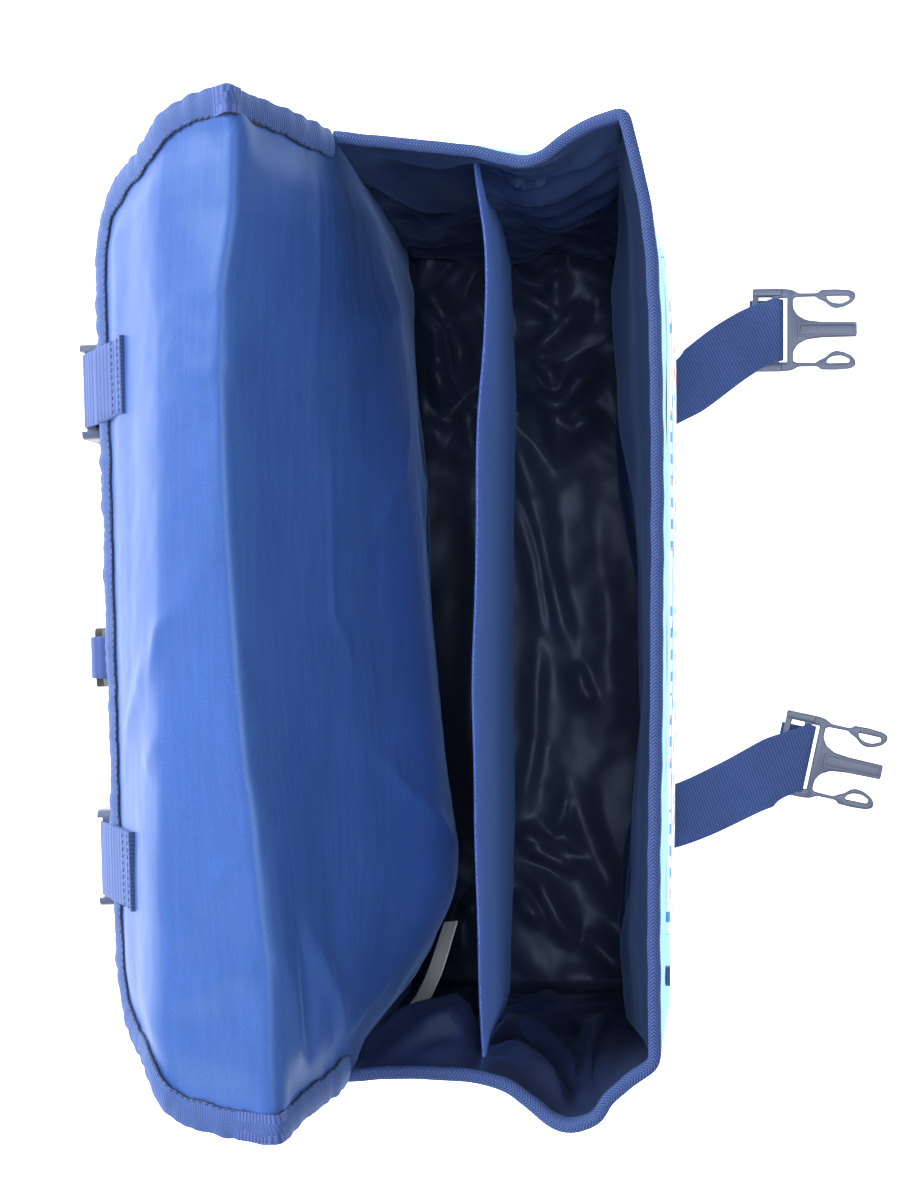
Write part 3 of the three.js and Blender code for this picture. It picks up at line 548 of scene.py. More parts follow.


# painted shade: the back panel's outer cloth is the same cloth at half brightness
OUTER, OUTER_BACK_SHADED, MATTE = outer_cloth(), outer_cloth("outer_cloth_back_shaded", 0.5), matte_cloth()
# corner=True paints shade into the right corner of the back lining
LINING = taffeta("lining_cloth", TAFFETA, 0.42, 0.32, 0.30, (0.66, 0.88, 1.0), corner=True)
# painted shade: the linings inside the bag are darker copies of the flap's taffeta, each as bright as the light on its
# own wall
LINING_IN_SHADED = taffeta("lining_cloth_inside_shaded", (0.0225, 0.0345, 0.0720), 0.42, 0.27, 0.10, (0.56, 0.70, 1.0))
LINING_FRONT_SHADED = taffeta("lining_cloth_front_shaded", shade(INSIDE_SHADED_TAFFETA, 0.8), 0.46, 0.30, 0.10, (0.50, 0.66, 1.0))
LINING_LEFT_SHADED = taffeta("lining_cloth_left_shaded", (0.0175, 0.0250, 0.0660), 0.30, 0.95, 0.04, (0.50, 0.68, 1.0))
LINING_RIGHT_SHADED = taffeta("lining_cloth_right_shaded", shade(INSIDE_SHADED_TAFFETA, 2.4), 0.36, 0.80, 0.15, (0.42, 0.62, 1.0))
TAPE = ribbed("binding_tape", (0.023, 0.060, 0.215), 0.0011, 0.25, light=1.35, dark=0.65, depth=0.15, streaks=0.8)
RIM_TAPE = ribbed("rim_tape", (0.021, 0.051, 0.185), 0.0013, 0.8, light=2.0, dark=0.35, depth=0.35, chevron=True)
RIDGE_TAPE = ribbed("ridge_tape", (0.042, 0.080, 0.280), 0.0014, 0.0, light=1.5, dark=0.45, depth=0.3)
# painted shadow: near-black cloth for the strip that stands in for the shadow beside the flap's binding
SEAM = ribbed("seam_shadow", (0.0050, 0.0090, 0.0300), 0.0032, 0.0, light=1.6, dark=0.5)
WEB = ribbed("webbing", (0.032, 0.066, 0.218), 0.0014, 0.0, light=1.75, dark=0.5, rough=0.75, fine=0.0013, depth=0.3)
TAB_WEB = ribbed("tab_webbing", (0.025, 0.057, 0.225), 0.0036, 0.0, light=1.18, dark=0.80, rough=0.7, depth=0.22)
# painted shade: a darker copy of the tab webbing, for the shadow along each tab's raised cut end
TAB_EDGE_SHADED = ribbed("tab_cut_edge_shaded", (0.011, 0.034, 0.120), 0.0016, 0.0, light=1.4, dark=0.7)
PLASTIC = plastic("buckle_plastic", (0.080, 0.104, 0.182), 0.42)
DARK = plastic("ring_plastic", (0.035, 0.036, 0.038), 0.45)
PRINT, LABEL = printed(), label_cloth()
THREAD = ribbed("thread", (0.020, 0.030, 0.085), 0.0011, 1.0, rough=0.8)

# ------------------------------------------------------------------ back, flap and their lining
def lining_coordinates(u, v):
    """Across in x and along in s: s is 0 at the ridge, falls down the back and grows down the flap, in millimetres."""
    line = np.linspace(0, 2, 801)
    p = back_flap(0.5, line, "sag")
    d = np.concatenate([[0], np.cumsum(np.linalg.norm(np.diff(p, axis=0), axis=1))])
    s = np.interp(v, line, d - np.interp(1.0, line, d))
    return back_flap(u, v, "sag")[..., 0], s


# folds of the lining: points in x and s, width, height, roundness
LINING_FOLDS = [
    ([(176, 62), (140, 47), (112, 34), (58, 33), (0, 34), (-70, 34), (-100, 34), (-136, 32), (-170, 27)], 5, 0.5, 0.75),
    ([(176, -47), (138, -45), (103, -43)], 3.5, 1.0, 0.6),
    ([(80, -48), (67, -48), (0, -47), (-12, -55), (-39, -57)], 3.5, 1.1, 0.6),
    ([(98, -60), (104, -66), (128, -123), (142, -140)], 7, 2.4, 0.8),
    ([(26, -70), (63, -105), (97, -130)], 3.5, 0.9, 0.7),
    ([(34, -136), (52, -157), (69, -177)], 7, 1.6, 1.0),
    ([(110, -180), (75, -200), (0, -208), (-60, -215)], 6, 1.9, 0.9),
    ([(120, -205), (60, -222), (0, -228), (-100, -248)], 7, 2.2, 0.9),
    ([(60, -176), (8, -147), (-35, -160), (-74, -152), (-100, -177)], 4, 1.1, 0.8),
    ([(-57, 79), (-34, 60), (-10, 39)], 7, 1.6, 0.8),
    ([(-60, 47), (-52, 40), (-43, 35)], 5, 1.0, 0.8),
    ([(-30, 42), (-6, 36), (6, 22)], 4, 1.1, 0.7),
    ([(-134, 32), (-110, 21), (-86, 5), (-80, 2)], 2.6, 0.8, 0.6),
    ([(-150, 30), (-146, 28), (-132, 12), (-126, -2)], 6, 1.0, 0.9),
    ([(-108, -16), (-123, -21), (-154, -25), (-174, -27)], 4.5, -3.4, 0.75),
    ([(-120, -27), (-130, -33), (-143, -44), (-162, -52)], 6, 3.2, 0.8),
    ([(-126, -10), (-150, -13), (-170, -14)], 5, 1.6, 0.8),
    ([(-45, -60), (-49, -65), (-69, -86), (-87, -117), (-100, -146), (-104, -160)], 4.5, 2.1, 0.7),
    ([(-75, -146), (-84, -155), (-101, -177), (-115, -220), (-121, -262)], 8, 3.2, 0.8),
    ([(-60, -190), (-82, -205), (-98, -230), (-108, -262)], 6, 2.0, 0.8),
    ([(-128, -180), (-135, -168), (-156, -124)], 6, 2.0, 0.8),
    ([(-140, -95), (-147, -78), (-162, -45), (-171, -27)], 5, 1.6, 0.7),
]
v_rows = np.concatenate([np.linspace(0.010, 1, 160), np.linspace(1, 2, 68)[1:]])
u_cols = np.linspace(0, 1, 205)
U, V = np.meshgrid(u_cols, v_rows)
P = back_flap(U, V, "sag")
X, S = lining_coordinates(U, V)
line = S[:, len(u_cols) // 2]
spread = 0.05 + 4.2 * np.exp(-((line / 11) ** 2))
blend = np.exp(-0.5 * ((line[None] - line[:, None]) / spread[:, None]) ** 2)
P = np.tensordot(blend / blend.sum(1, keepdims=True), P, axes=(1, 0))
N = normals(P)
lift = 2.0 + 0.8 * noise(X / 70, S / 50, 3) + 0.35 * noise(X / 26, S / 16, 4)
lift = lift + 0.16 * noise(X / 9 + S / 30, S / 7, 5) * np.clip(0.5 + noise(X / 55, S / 45, 6), 0, 1)
for points, width, height, sharp in LINING_FOLDS:
    lift = lift + fold(X, S, points, width, height, sharp)
lift = np.maximum(lift, 0.35)
edge_fade = np.clip((np.minimum(U, 1 - U) * 385 - 12) / 16, 0, 1) * np.clip(((2 - V) * FLAP_LENGTH - 12) / 14, 0, 1)
edge_fade = edge_fade * edge_fade * (3 - 2 * edge_fade)
held_down = 0.3 + 2.2 * np.exp(-((S / 7.5) ** 2)) * np.clip(np.minimum(U, 1 - U) * 385 / 10, 0.6, 1)
lift = held_down + np.maximum(lift - held_down, 0) * edge_fade
flap_lining = slab("flap_lining_cloth", P, lift, lift + 0.9, np.stack([X, S], -1), LINING, N)
piece(flap_lining, "lining_cloth", "flap_lining")

v_back = np.linspace(0, 0.9985, 70)
U, V = np.meshgrid(np.linspace(0, 1, 90), v_back)
P = back_flap(U, V, "bow")
X, S = lining_coordinates(U, V)
swell = 0.6 * noise(X / 70, S / 60, 11)
ob = slab("back_panel_cloth", P, -2.3 + swell * 0.5, -0.3, np.stack([X, S], -1), OUTER_BACK_SHADED)
piece(ob, "outer_cloth", "back_panel")

v_flap = np.linspace(1.005, 2, 50)
U, V = np.meshgrid(np.linspace(0, 1, 120), v_flap)
P = back_flap(U, V, "bow")
X, S = lining_coordinates(U, V)
ob = slab("flap_cloth", P, -2.3, -0.3, np.stack([X, S], -1), OUTER)
piece(ob, "outer_cloth", "flap")


def tape_section(reach, low, high, thick, k=7, crown=0.0):
    """Tape folded over an edge, seen end on: outside round, inside a slot."""
    mid, r = (low + high) / 2, (high - low) / 2
    arc = np.linspace(np.pi / 2, -np.pi / 2, k)
    outer = [(-reach, high + thick)] + [(-reach * f, high + thick + crown) for f in (0.66, 0.33)]
    outer += [(0.2 + (thick + 0.4) * math.cos(a), mid + (r + thick) * math.sin(a)) for a in arc]
    outer += [(-reach * f, low - thick) for f in (0.33, 0.66)] + [(-reach, low - thick)]
    inner = [(-reach, low)] + [(0.1 + 0.3 * math.cos(a), mid + r * math.sin(a)) for a in arc[::-1]] + [(-reach, high)]
    return np.array(outer + inner)


def edge_stations(step=1.2):
    n = 400
    path = [(0.0, v) for v in np.linspace(0.70, 2, n)] + [(u, 2.0) for u in np.linspace(0, 1, n)[1:-1]] + [(1.0, v) for v in np.linspace(2, 0.70, n)]
    u, v = np.array(path).T
    p = back_flap(u, v, "bow")
    h = 0.004
    du = unit(back_flap(np.minimum(u + h, 1), v, "bow") - back_flap(np.maximum(u - h, 0), v, "bow"))
    dv = unit(back_flap(u, np.minimum(v + h, 2), "bow") - back_flap(u, v - h, "bow"))
    nn = unit(np.cross(du, dv))
    d = np.concatenate([[0], np.cumsum(np.linalg.norm(np.diff(p, axis=0), axis=1))])
    t = np.linspace(0, d[-1], int(d[-1] / step) + 1)
    p = np.stack([np.interp(t, d, p[:, k]) for k in range(3)], -1)
    nn = unit(np.stack([np.interp(t, d, nn[:, k]) for k in range(3)], -1))
    for _ in range(3):
        nn[1:-1] = unit(nn[:-2] + 2 * nn[1:-1] + nn[2:])
    tangent = unit(np.gradient(p, axis=0))
    for _ in range(2):
        tangent[1:-1] = unit(tangent[:-2] + 2 * tangent[1:-1] + tangent[2:])
    e = unit(np.cross(nn, tangent))
    return p, e, nn, t


def perimeter(section):
    """Distance round a section from the middle of its outer side, to lay the ribs by."""
    d = np.concatenate([[0], np.cumsum(np.linalg.norm(np.diff(section, axis=0), axis=1))])
    return d - d[6]


P, E, N, T = edge_stations()
sec = tape_section(10.0, -2.5, 1.6, 0.65, crown=0.9)
sections = np.repeat(sec[None], len(T), 0)
inner_edge = sections[..., 0] < -9.9
wave = 1.3 * noise(T / 13, T * 0, 21) + 0.6 * noise(T / 5, T * 0, 27) + 0.2 * np.sin(2 * np.pi * T / 3.3)
sections[..., 0] = np.where(inner_edge, sections[..., 0] + wave[:, None], sections[..., 0])
puff = 1.1 * np.abs(noise(T / 9, T * 0, 22)) + 0.5 * noise(T / 23, T * 0, 23) - 0.2
grow = np.clip((sections[..., 0] + 8.5) / 6, 0, 1) * puff[:, None]
sections[..., 1] += np.sign(sections[..., 1] + 0.4) * grow
sections[..., 0] += (0.9 * grow + (0.7 * noise(T / 11, T * 0, 26))[:, None]) * (sections[..., 0] > -3)
ridge_at = [T[np.argmin(np.linalg.norm(P - back_flap(u, 1.0, "bow"), axis=1))] for u in (0.0, 1.0)]
ob = loft("flap_binding_tape", P, E, N, sections, TAPE, along=T, across=perimeter(sec))
piece(ob, "binding_tape", "flap_binding")
# painted shadow: a near-black strip beside the tape's stitched edge stands in for the shadow in the slit there
gap = np.clip(0.20 + 0.5 * noise(T / 16, T * 0, 24) + 0.2 * noise(T / 5, T * 0, 25), 0.10, 1.0) + 1.1 * np.exp(-(((T - ridge_at[1] - 10) / 7) ** 2))
slit = np.array([(-1.0, 0.10), (0.0, 0.45), (1.0, 0.10), (0.9, -0.3), (-0.9, -0.3)])
slit_section = np.repeat(slit[None], len(T), 0)
slit_section[..., 0] = slit_section[..., 0] * gap[:, None] - 10.1 + wave[:, None]
slit_section[..., 1] += 1.75
ob = loft("flap_binding_shadow_strip", P, E, N, slit_section, SEAM, along=T)
piece(ob, "binding_tape")


def capsules(name, centers, tangents, ups, length, radius, material, slot):
    """A row of stitches, each a short rounded bar."""
    verts, faces, uv = [], [], []
    ring = [(math.cos(a), math.sin(a)) for a in np.linspace(0, 2 * np.pi, 7)[:-1]]
    for c, t, u in zip(centers, unit(tangents), unit(ups)):
        w = np.cross(t, u)
        k = len(verts)
        for a, r in ((-0.5, 0.35), (-0.3, 1.0), (0.3, 1.0), (0.5, 0.35)):
            for x, y in ring:
                verts.append(c + t * length * a + (w * x + u * y) * radius * r)
                uv.append((a * length, x * radius))
        for q in range(3):
            faces += [(k + q * 6 + i, k + q * 6 + (i + 1) % 6, k + q * 6 + 6 + (i + 1) % 6, k + q * 6 + 6 + i) for i in range(6)]
        faces += [tuple(k + i for i in range(5, -1, -1)), tuple(k + 18 + i for i in range(6))]
    return piece(mesh_object(name, np.array(verts), faces, np.array(uv), material, 60), slot)


def along_line(P, *others, start=2.0, pitch=3.3):
    d = np.concatenate([[0], np.cumsum(np.linalg.norm(np.diff(P, axis=0), axis=1))])
    t = np.arange(start, d[-1] - start, pitch)
    return [np.stack([np.interp(t, d, a[:, k]) for k in range(3)], -1) for a in (P,) + others]


tangent = np.gradient(P, axis=0)
c, t, u = along_line(P - E * (9.5 - wave)[:, None] + N * 2.25, tangent, N, pitch=2.9)
capsules("flap_binding_stitches", c, t, u, 1.7, 0.30, THREAD, "binding_tape")

# ribbed doubled tape where the binding turns over the ridge
for k, (s0, before, after) in enumerate(((ridge_at[0], 4, 15), (ridge_at[1], 5, 5))):
    m = (T > s0 - before - 1) & (T < s0 + after + 1)
    block = tape_section(10.2, -3.4, 2.6, 0.5)
    ob = loft(f"ridge_tape_{k}", P[m], E[m], N[m], block, RIDGE_TAPE, along=T[m], across=perimeter(block))
    piece(ob, "binding_tape")

# ------------------------------------------------------------------ walls
def wall_cloth(name, rows, outward, sign, slot_node, lining_node, seed, nt, nv, amp):
    """Outer cloth of a wall. sign turns the surface normal outward."""
    T, V = np.meshgrid(np.linspace(0, 1, nt), np.linspace(0, 1, nv))
    P = wall(rows, outward, T, V)
    N = normals(P) * sign
    d = np.concatenate([np.zeros((nv, 1)), np.cumsum(np.linalg.norm(np.diff(P, axis=1), axis=-1), axis=1)], 1)
    uv = np.stack([d, P[..., 2]], -1)
    ripple = 0.5 * noise(uv[..., 0] / 40, uv[..., 1] / 55, seed)
    lo, hi = (0.3 + 0 * ripple, 2.0 + ripple) if sign > 0 else (-2.0 - ripple, -0.3 + 0 * ripple)
    ob = slab(f"{name}_cloth", P, lo, hi, uv, OUTER, normals(P))
    piece(ob, "outer_cloth", slot_node)
    return P, N, uv


left = wall_cloth("side_panel_left", LEFT, -1, 1, "side_panel_left", None, 5, 60, 110, 1)
right = wall_cloth("side_panel_right", RIGHT, 1, -1, "side_panel_right", None, 6, 60, 110, 1)
front = wall_cloth("front_panel", FRONT, 0, 1, "front_panel", None, 7, 150, 100, 1)


def wall_lining(name, rows, outward, sign, node, nt, nv, loose, material):
    """Lining of a wall, standing off it by loose(P, T, V) millimetres."""
    T, V = np.meshgrid(np.linspace(0, 1, nt), np.linspace(0.004, 1, nv))
    P = wall(rows, outward, T, V)
    N = normals(P)
    d = np.concatenate([np.zeros((nv, 1)), np.cumsum(np.linalg.norm(np.diff(P, axis=1), axis=-1), axis=1)], 1)
    hold = np.clip((1 - V) / 0.09, 0, 1) * np.clip(np.minimum(T, 1 - T) / 0.05, 0, 1)
    inward = 0.3 + np.maximum(0, loose(P, T, V)) * hold**0.7
    lo, hi = (-inward - 0.8, -inward) if sign > 0 else (inward, inward + 0.8)
    ob = slab(f"{name}_cloth", P, lo, hi, np.stack([d, P[..., 2]], -1), material, N)
    piece(ob, "lining_cloth", node)


def folds_of(a, b, rows):
    """The tallest of several folds at each place: tops stay round, the valleys between them are sharp."""
    return np.max([fold(a, b, points, width, height, sharp) for points, width, height, sharp in rows], axis=0)


def right_loose(P, T, V):
    y, z = P[..., 1], P[..., 2]
    d = 3.0 + 1.8 * noise(y / 30, z / 40, 91)
    d = d + folds_of(y, z, [
        ([(7, 232), (-1, 218), (-16, 226), (-33, 244), (-48, 270)], 5, 6, 0.8), ([(6, 206), (-4, 196), (-20, 205), (-38, 225), (-50, 240)], 6, 8, 0.75),
        ([(5, 182), (-6, 175), (-22, 184), (-40, 200), (-54, 216)], 5.5, 7, 0.8), ([(4, 150), (-8, 152), (-20, 163), (-36, 172), (-52, 190)], 7, 9, 0.75),
        ([(3, 122), (-9, 129), (-24, 156), (-33, 146), (-50, 160)], 7, 10, 0.8), ([(58, 236), (48, 190), (35, 153), (17, 124)], 8, 7, 0.8),
        ([(60, 103), (39, 115), (13, 152)], 8, 7, 0.8), ([(48, 246), (32, 240), (12, 236)], 7, 4, 0.9), ([(56, 60), (42, 90), (34, 150)], 9, 7, 0.9),
        ([(4, 242), (-8, 238), (-22, 243), (-30, 254)], 3.2, 4, 0.75), ([(3, 214), (-9, 209), (-22, 216)], 3.2, 5, 0.75), ([(2, 190), (-8, 186), (-18, 192)], 3.2, 5, 0.75)])
    low = np.clip((120 - z) / 70, 0, 1)
    return d + low * low * 9 * crumple(y * 1.2, z, 52, 92)


def left_loose(P, T, V):
    y, z = P[..., 1], P[..., 2]
    d = 3.0 + 1.8 * noise(y / 34, z / 60, 95)
    d = d + folds_of(y, z, [
        ([(61, 236), (55, 180), (48, 90), (44, 20)], 5, 8, 0.7), ([(46, 220), (41, 150), (35, 70), (31, 10)], 5, 7, 0.7),
        ([(40, 236), (30, 163), (20, 100), (16, 40)], 6, 7, 0.75), ([(52, 250), (26, 236), (9, 196)], 5, 5, 0.75),
        ([(8, 214), (3, 160), (3, 100)], 5, 6, 0.75), ([(6, 200), (-16, 244), (-30, 262)], 7, 8, 0.8), ([(10, 162), (-2, 146), (-22, 190), (-34, 230)], 6, 7, 0.8),
        ([(-36, 60), (-37, 160), (-39, 250)], 9, 8, 0.9), ([(0, 30), (-14, 90), (-22, 140)], 8, 7, 0.9),
        ([(7, 230), (-8, 230), (-20, 224)], 3.2, 4, 0.8), ([(6, 222), (-6, 212), (-15, 196)], 3.2, 4.5, 0.8), ([(6, 212), (-3, 196), (-8, 176)], 3.2, 4.5, 0.8)])
    low = np.clip((90 - z) / 60, 0, 1)
    d = d + low * 4 * crumple(y, z, 60, 96)
    drop = 256 - z - 3 * np.clip(y / 30, 0, 1)
    full = np.interp(y, [8, 13, 20, 30, 40, 50, 58, 66], [0, 20, 25, 22, 16, 9, 4, 1])
    hang = np.interp(drop, [0, 7, 14, 22, 34, 44, 54, 80, 130], [0, 0.34, 0.44, 0.62, 0.94, 1, 0.86, 0.42, 0.2])
    belly = full * hang + folds_of(y, z, [([(52, 246), (40, 240), (26, 232), (9, 226)], 4.5, 5, 0.8), ([(34, 247), (22, 243), (9, 241)], 2.6, 2.4, 0.8),
                                          ([(60, 236), (50, 220), (38, 210), (26, 204)], 4, 4, 0.8)])
    belly = belly + 0.8 * noise(y / 12, z / 16, 99)
    for _ in range(6):
        belly[1:-1] = (belly[:-2] + 2 * belly[1:-1] + belly[2:]) / 4
    k = np.clip((y - 9) / 6, 0, 1)
    return d + k * k * (3 - 2 * k) * (belly - d) * np.clip((z - 60) / 60, 0, 1)


BULGE_X = [-187, -165, -130, -90, -40, 20, 50, 90, 130, 165, 187]
BULGE = [3, 9, 12, 10, 7, 8, 11, 13, 14, 9, 3]


def front_loose(P, T, V):
    x, z = P[..., 0], P[..., 2]
    d = np.interp(x, BULGE_X, BULGE) * np.clip(np.sin(np.pi * V**1.2), 0, 1) ** 0.75
    d = d + 2.2 * noise(x / 75, z / 34, 97) + 0.9 * noise(x / 30, z / 20, 98)
    d = d + fold(x, z, [(178, 230), (140, 214), (90, 206), (40, 216)], 9, 4, 0.9) + fold(x, z, [(170, 150), (120, 140), (60, 150), (0, 160)], 10, 5, 0.9)
    d = d + fold(x, z, [(-172, 225), (-140, 205), (-100, 212)], 9, 4, 0.9) + fold(x, z, [(-168, 150), (-120, 130), (-70, 140)], 10, 4, 0.9)
    return d


wall_lining("side_lining_left", LEFT, -1, 1, "side_lining_left", 120, 220, left_loose, LINING_LEFT_SHADED)
wall_lining("side_lining_right", RIGHT, 1, -1, "side_lining_right", 90, 150, right_loose, LINING_RIGHT_SHADED)
wall_lining("front_lining", FRONT, 0, 1, "front_lining", 190, 130, front_loose, LINING_FRONT_SHADED)

# base and its lining
def corner(x, y):
    """The foot's right front corner is rounded off."""
    k = np.clip((x - 140) / 47, 0, 1)
    return 6.4 * k * k * np.clip(-y / 61, 0, 1)


gx, gy = np.meshgrid(np.linspace(-185.5, 185.5, 326), np.linspace(-60.6, 64.4, 112))


def patch(x0, x1, y0, y1, soft):
    inside = np.minimum(np.minimum(gx - x0, x1 - gx), np.minimum(gy - y0, y1 - gy))
    t = np.clip(inside / soft + 0.5, 0, 1)
    return t * t * (3 - 2 * t)


loose = 4.0 + 3.0 * noise(gx / 62, gy / 40, 41) + 1.0 * noise(gx / 27, gy / 20, 42) + 0.5 * noise(gx / 11, gy / 9, 48)
loose = loose + 9 * crumple(gx, gy, 40, 43) * patch(80, 200, -60, 16, 50) + 9 * crumple(gx, gy, 36, 44) * patch(80, 200, 10, 76, 40)
loose = loose + 7 * crumple(gx, gy, 44, 46) * patch(-200, -110, 10, 76, 40) + 5 * crumple(gx, gy, 46, 47) * patch(-200, -130, -66, 14, 40)
loose = loose + folds_of(gx, gy, [
    ([(178, 12), (173, 2), (178, -9), (185, -6)], 5, 14, 0.8), ([(162, 13), (155, -1), (149, -9), (142, -7), (137, 5)], 5, 15, 0.8),
    ([(172, -9), (157, -8), (146, -12)], 5, 12, 0.8), ([(131, 13), (134, -1), (142, -10), (156, -26)], 5.5, 15, 0.8),
    ([(125, 10), (109, -1), (103, -10), (120, -24), (134, -28)], 5.5, 14, 0.8), ([(128, 5), (121, -6), (107, -9)], 4.5, 11, 0.8),
    ([(102, -3), (92, -17), (102, -31)], 6, 10, 0.8), ([(118, 6), (98, -9), (72, -12)], 5, 9, 0.75), ([(184, -16), (178, -30), (168, -46)], 7, 14, 0.8),
    ([(160, -30), (148, -44), (130, -50)], 7, 12, 0.8), ([(92, 11), (80, 9), (43, -1), (-1, -11), (-24, -20)], 4.5, 4.5, 0.85),
    ([(66, 12), (59, 11), (28, 3), (-1, -1), (-16, -4)], 4.5, 4, 0.85), ([(80, 9), (59, -1), (30, -7)], 4.5, 3.5, 0.85),
    ([(60, -24), (10, -34), (-60, -36)], 9, 4, 0.8), ([(2, 1), (-4, 0), (-57, 2), (-104, 10)], 4.5, 4, 0.85),
    ([(-104, 12), (-109, -1), (-112, -8)], 4, 9, 0.75), ([(-108, 11), (-115, -4), (-124, -22)], 4, 9, 0.75), ([(-119, 12), (-129, -1), (-150, -12), (-162, -27)], 5, 9, 0.75),
    ([(-132, 12), (-143, 3), (-149, -5)], 4.5, 8, 0.8), ([(-109, -3), (-115, -14), (-119, -32)], 4, 7, 0.75), ([(-107, -4), (-97, -12), (-79, -15)], 4, 7, 0.75),
    ([(-20, -18), (-35, -22), (-43, -30)], 5, 5, 0.8), ([(-70, -10), (-110, -26), (-150, -42)], 8, 6, 0.9), ([(-150, -20), (-166, -36), (-176, -48)], 7, 9, 0.8),
    ([(166, 60), (158, 51), (147, 46), (154, 36)], 5, 14, 0.8), ([(155, 59), (142, 50), (127, 48), (114, 55)], 5, 14, 0.8),
    ([(155, 48), (140, 42), (132, 38), (116, 39)], 5, 13, 0.8), ([(139, 55), (121, 51), (104, 42)], 5, 11, 0.8), ([(80, 36), (20, 30), (-50, 34), (-110, 28)], 7, 6, 0.8),
    ([(-130, 26), (-150, 36), (-172, 34)], 7, 10, 0.8), ([(-120, 40), (-146, 50), (-170, 54)], 7, 10, 0.8)])
for _ in range(3):
    loose[1:-1] = (loose[:-2] + 2 * loose[1:-1] + loose[2:]) / 4
    loose[:, 1:-1] = (loose[:, :-2] + 2 * loose[:, 1:-1] + loose[:, 2:]) / 4
loose = np.maximum(loose, 0.4) * np.clip(np.minimum(185.5 - np.abs(gx), np.minimum(gy + 60.6, 64.4 - gy)) / 8, 0.15, 1)
P = np.stack([gx, gy + (1.9 + gx / 190) * np.clip((gy - 52) / 12.4, 0, 1) + corner(gx, gy), 2.3 + loose], -1)
ob = slab("base_lining_cloth", P, 0, 0.8, np.stack([gx, gy], -1), LINING_IN_SHADED)
piece(ob, "lining_cloth", "base_lining")
gx, gy = np.meshgrid(np.linspace(-186, 186, 96), np.linspace(-61.2, 65, 40))
rim = np.clip(np.minimum(186 - np.abs(gx), np.minimum(gy + 61.2, 65 - gy)) / 2.0, 0, 1)
P = np.stack([gx, gy + (1.9 + gx / 190) * np.clip((gy - 52) / 13, 0, 1) + corner(gx, gy), 0 * gx], -1)
ob = slab("base_panel_cloth", P, 0.9 * (1 - rim) ** 2, 2.0, np.stack([gx, gy], -1), OUTER)
piece(ob, "outer_cloth", "base_panel")


def rim_tape():
    """One tape over the rim: up the left gusset's edge, across the front, back along the right gusset."""
    t = np.linspace(0, 1, 300)
    sides = [(LEFT, -1, t), (FRONT, 0, t), (RIGHT, 1, t[::-1])]
    p = np.concatenate([wall(rows, outward, w, np.ones_like(w)) for rows, outward, w in sides])
    q = np.concatenate([wall(rows, outward, w, np.full_like(w, 0.966)) for rows, outward, w in sides])
    d = np.concatenate([[0], np.cumsum(np.linalg.norm(np.diff(p, axis=0), axis=1) + 1e-6)])
    s = np.linspace(0, d[-1], int(d[-1] / 1.1) + 1)
    pick = lambda a: np.stack([np.interp(s, d, a[:, k]) for k in range(3)], -1)
    p, e = pick(p), unit(pick(p - q))
    for _ in range(5):
        p[1:-1] = (p[:-2] + 2 * p[1:-1] + p[2:]) / 4
        e[1:-1] = unit(e[:-2] + 2 * e[1:-1] + e[2:])
    tangent = unit(np.gradient(p, axis=0))
    n = unit(np.cross(tangent, e))
    flat = tape_section(9.0, -1.3, 2.1, 0.65)
    sec = np.repeat(flat[None], len(s), 0)
    sec[..., 0] += (0.35 * noise(s / 14, s * 0, 61))[:, None]
    sec[..., 1] += (0.30 * noise(s / 11, s * 0 + 9, 61))[:, None]
    ob = loft("rim_binding_tape", p, e, n, sec, RIM_TAPE, along=s, across=perimeter(flat))
    return piece(ob, "binding_tape", "rim_binding_left", "rim_binding_front", "rim_binding_right")


rim_tape()

# ------------------------------------------------------------------ divider
def gusset_x(rows, outward, y, z):
    """x of a gusset's middle surface at a depth and height."""
    t = np.linspace(0, 1, 400)[:, None]
    y, z = np.ravel(y), np.ravel(z)
    v = np.clip((z[None] - FOOT_Z) / (column(rows, WALL_COLUMNS, "rim_z", t) - FOOT_Z), 0, 1)
    p = wall(rows, outward, np.broadcast_to(t, v.shape), v)
    i = np.abs(p[..., 1] - y[None]).argmin(0)
    return p[i, np.arange(len(y)), 0]


U, V = np.meshgrid(np.linspace(0, 1, 150), np.linspace(0, 1, 90))
c = lambda key: column(DIVIDER, DIVIDER_COLUMNS, key, U)
Z = 5.0 + (c("top_z") - 5.0) * V
Y = c("foot_y") + (c("top_y") - c("foot_y")) * V
x0, x1 = gusset_x(LEFT, -1, Y, Z).reshape(Y.shape) + 1.0, gusset_x(RIGHT, 1, Y, Z).reshape(Y.shape) - 1.0
X = x0 + (x1 - x0) * U
Y = Y + 0.9 * noise(X / 70, Z / 60, 71)
P = np.stack([X, Y, Z], -1)
half = 0.8 * np.sqrt(np.clip(1 - np.clip((V - 0.993) / 0.007, 0, 1) ** 2, 0.02, 1))
ob = slab("divider_cloth_board", P, -half, half, np.stack([X, Z], -1), MATTE, sharp_deg=70)
piece(ob, "divider_cloth", "divider")

# ------------------------------------------------------------------ front pocket
T, V = np.meshgrid(np.linspace(0.133, 0.86, 150), np.linspace(0.05, 0.5, 60))
P = wall(FRONT, 0, T, V)
N = normals(P)
bulge = 2.0 + 0.3 + 1.9 * (np.sin(np.pi * (T - 0.133) / 0.727) * np.sin(np.pi * (V - 0.05) / 0.45)).clip(0, 1) ** 0.5
bulge = bulge + 0.3 * noise(P[..., 0] / 35, P[..., 2] / 30, 81)
ob = slab("front_pocket_cloth", P, bulge, bulge + 1.5, np.stack([P[..., 0], P[..., 2]], -1), PRINT, N)
piece(ob, "pocket_print", "front_pocket")

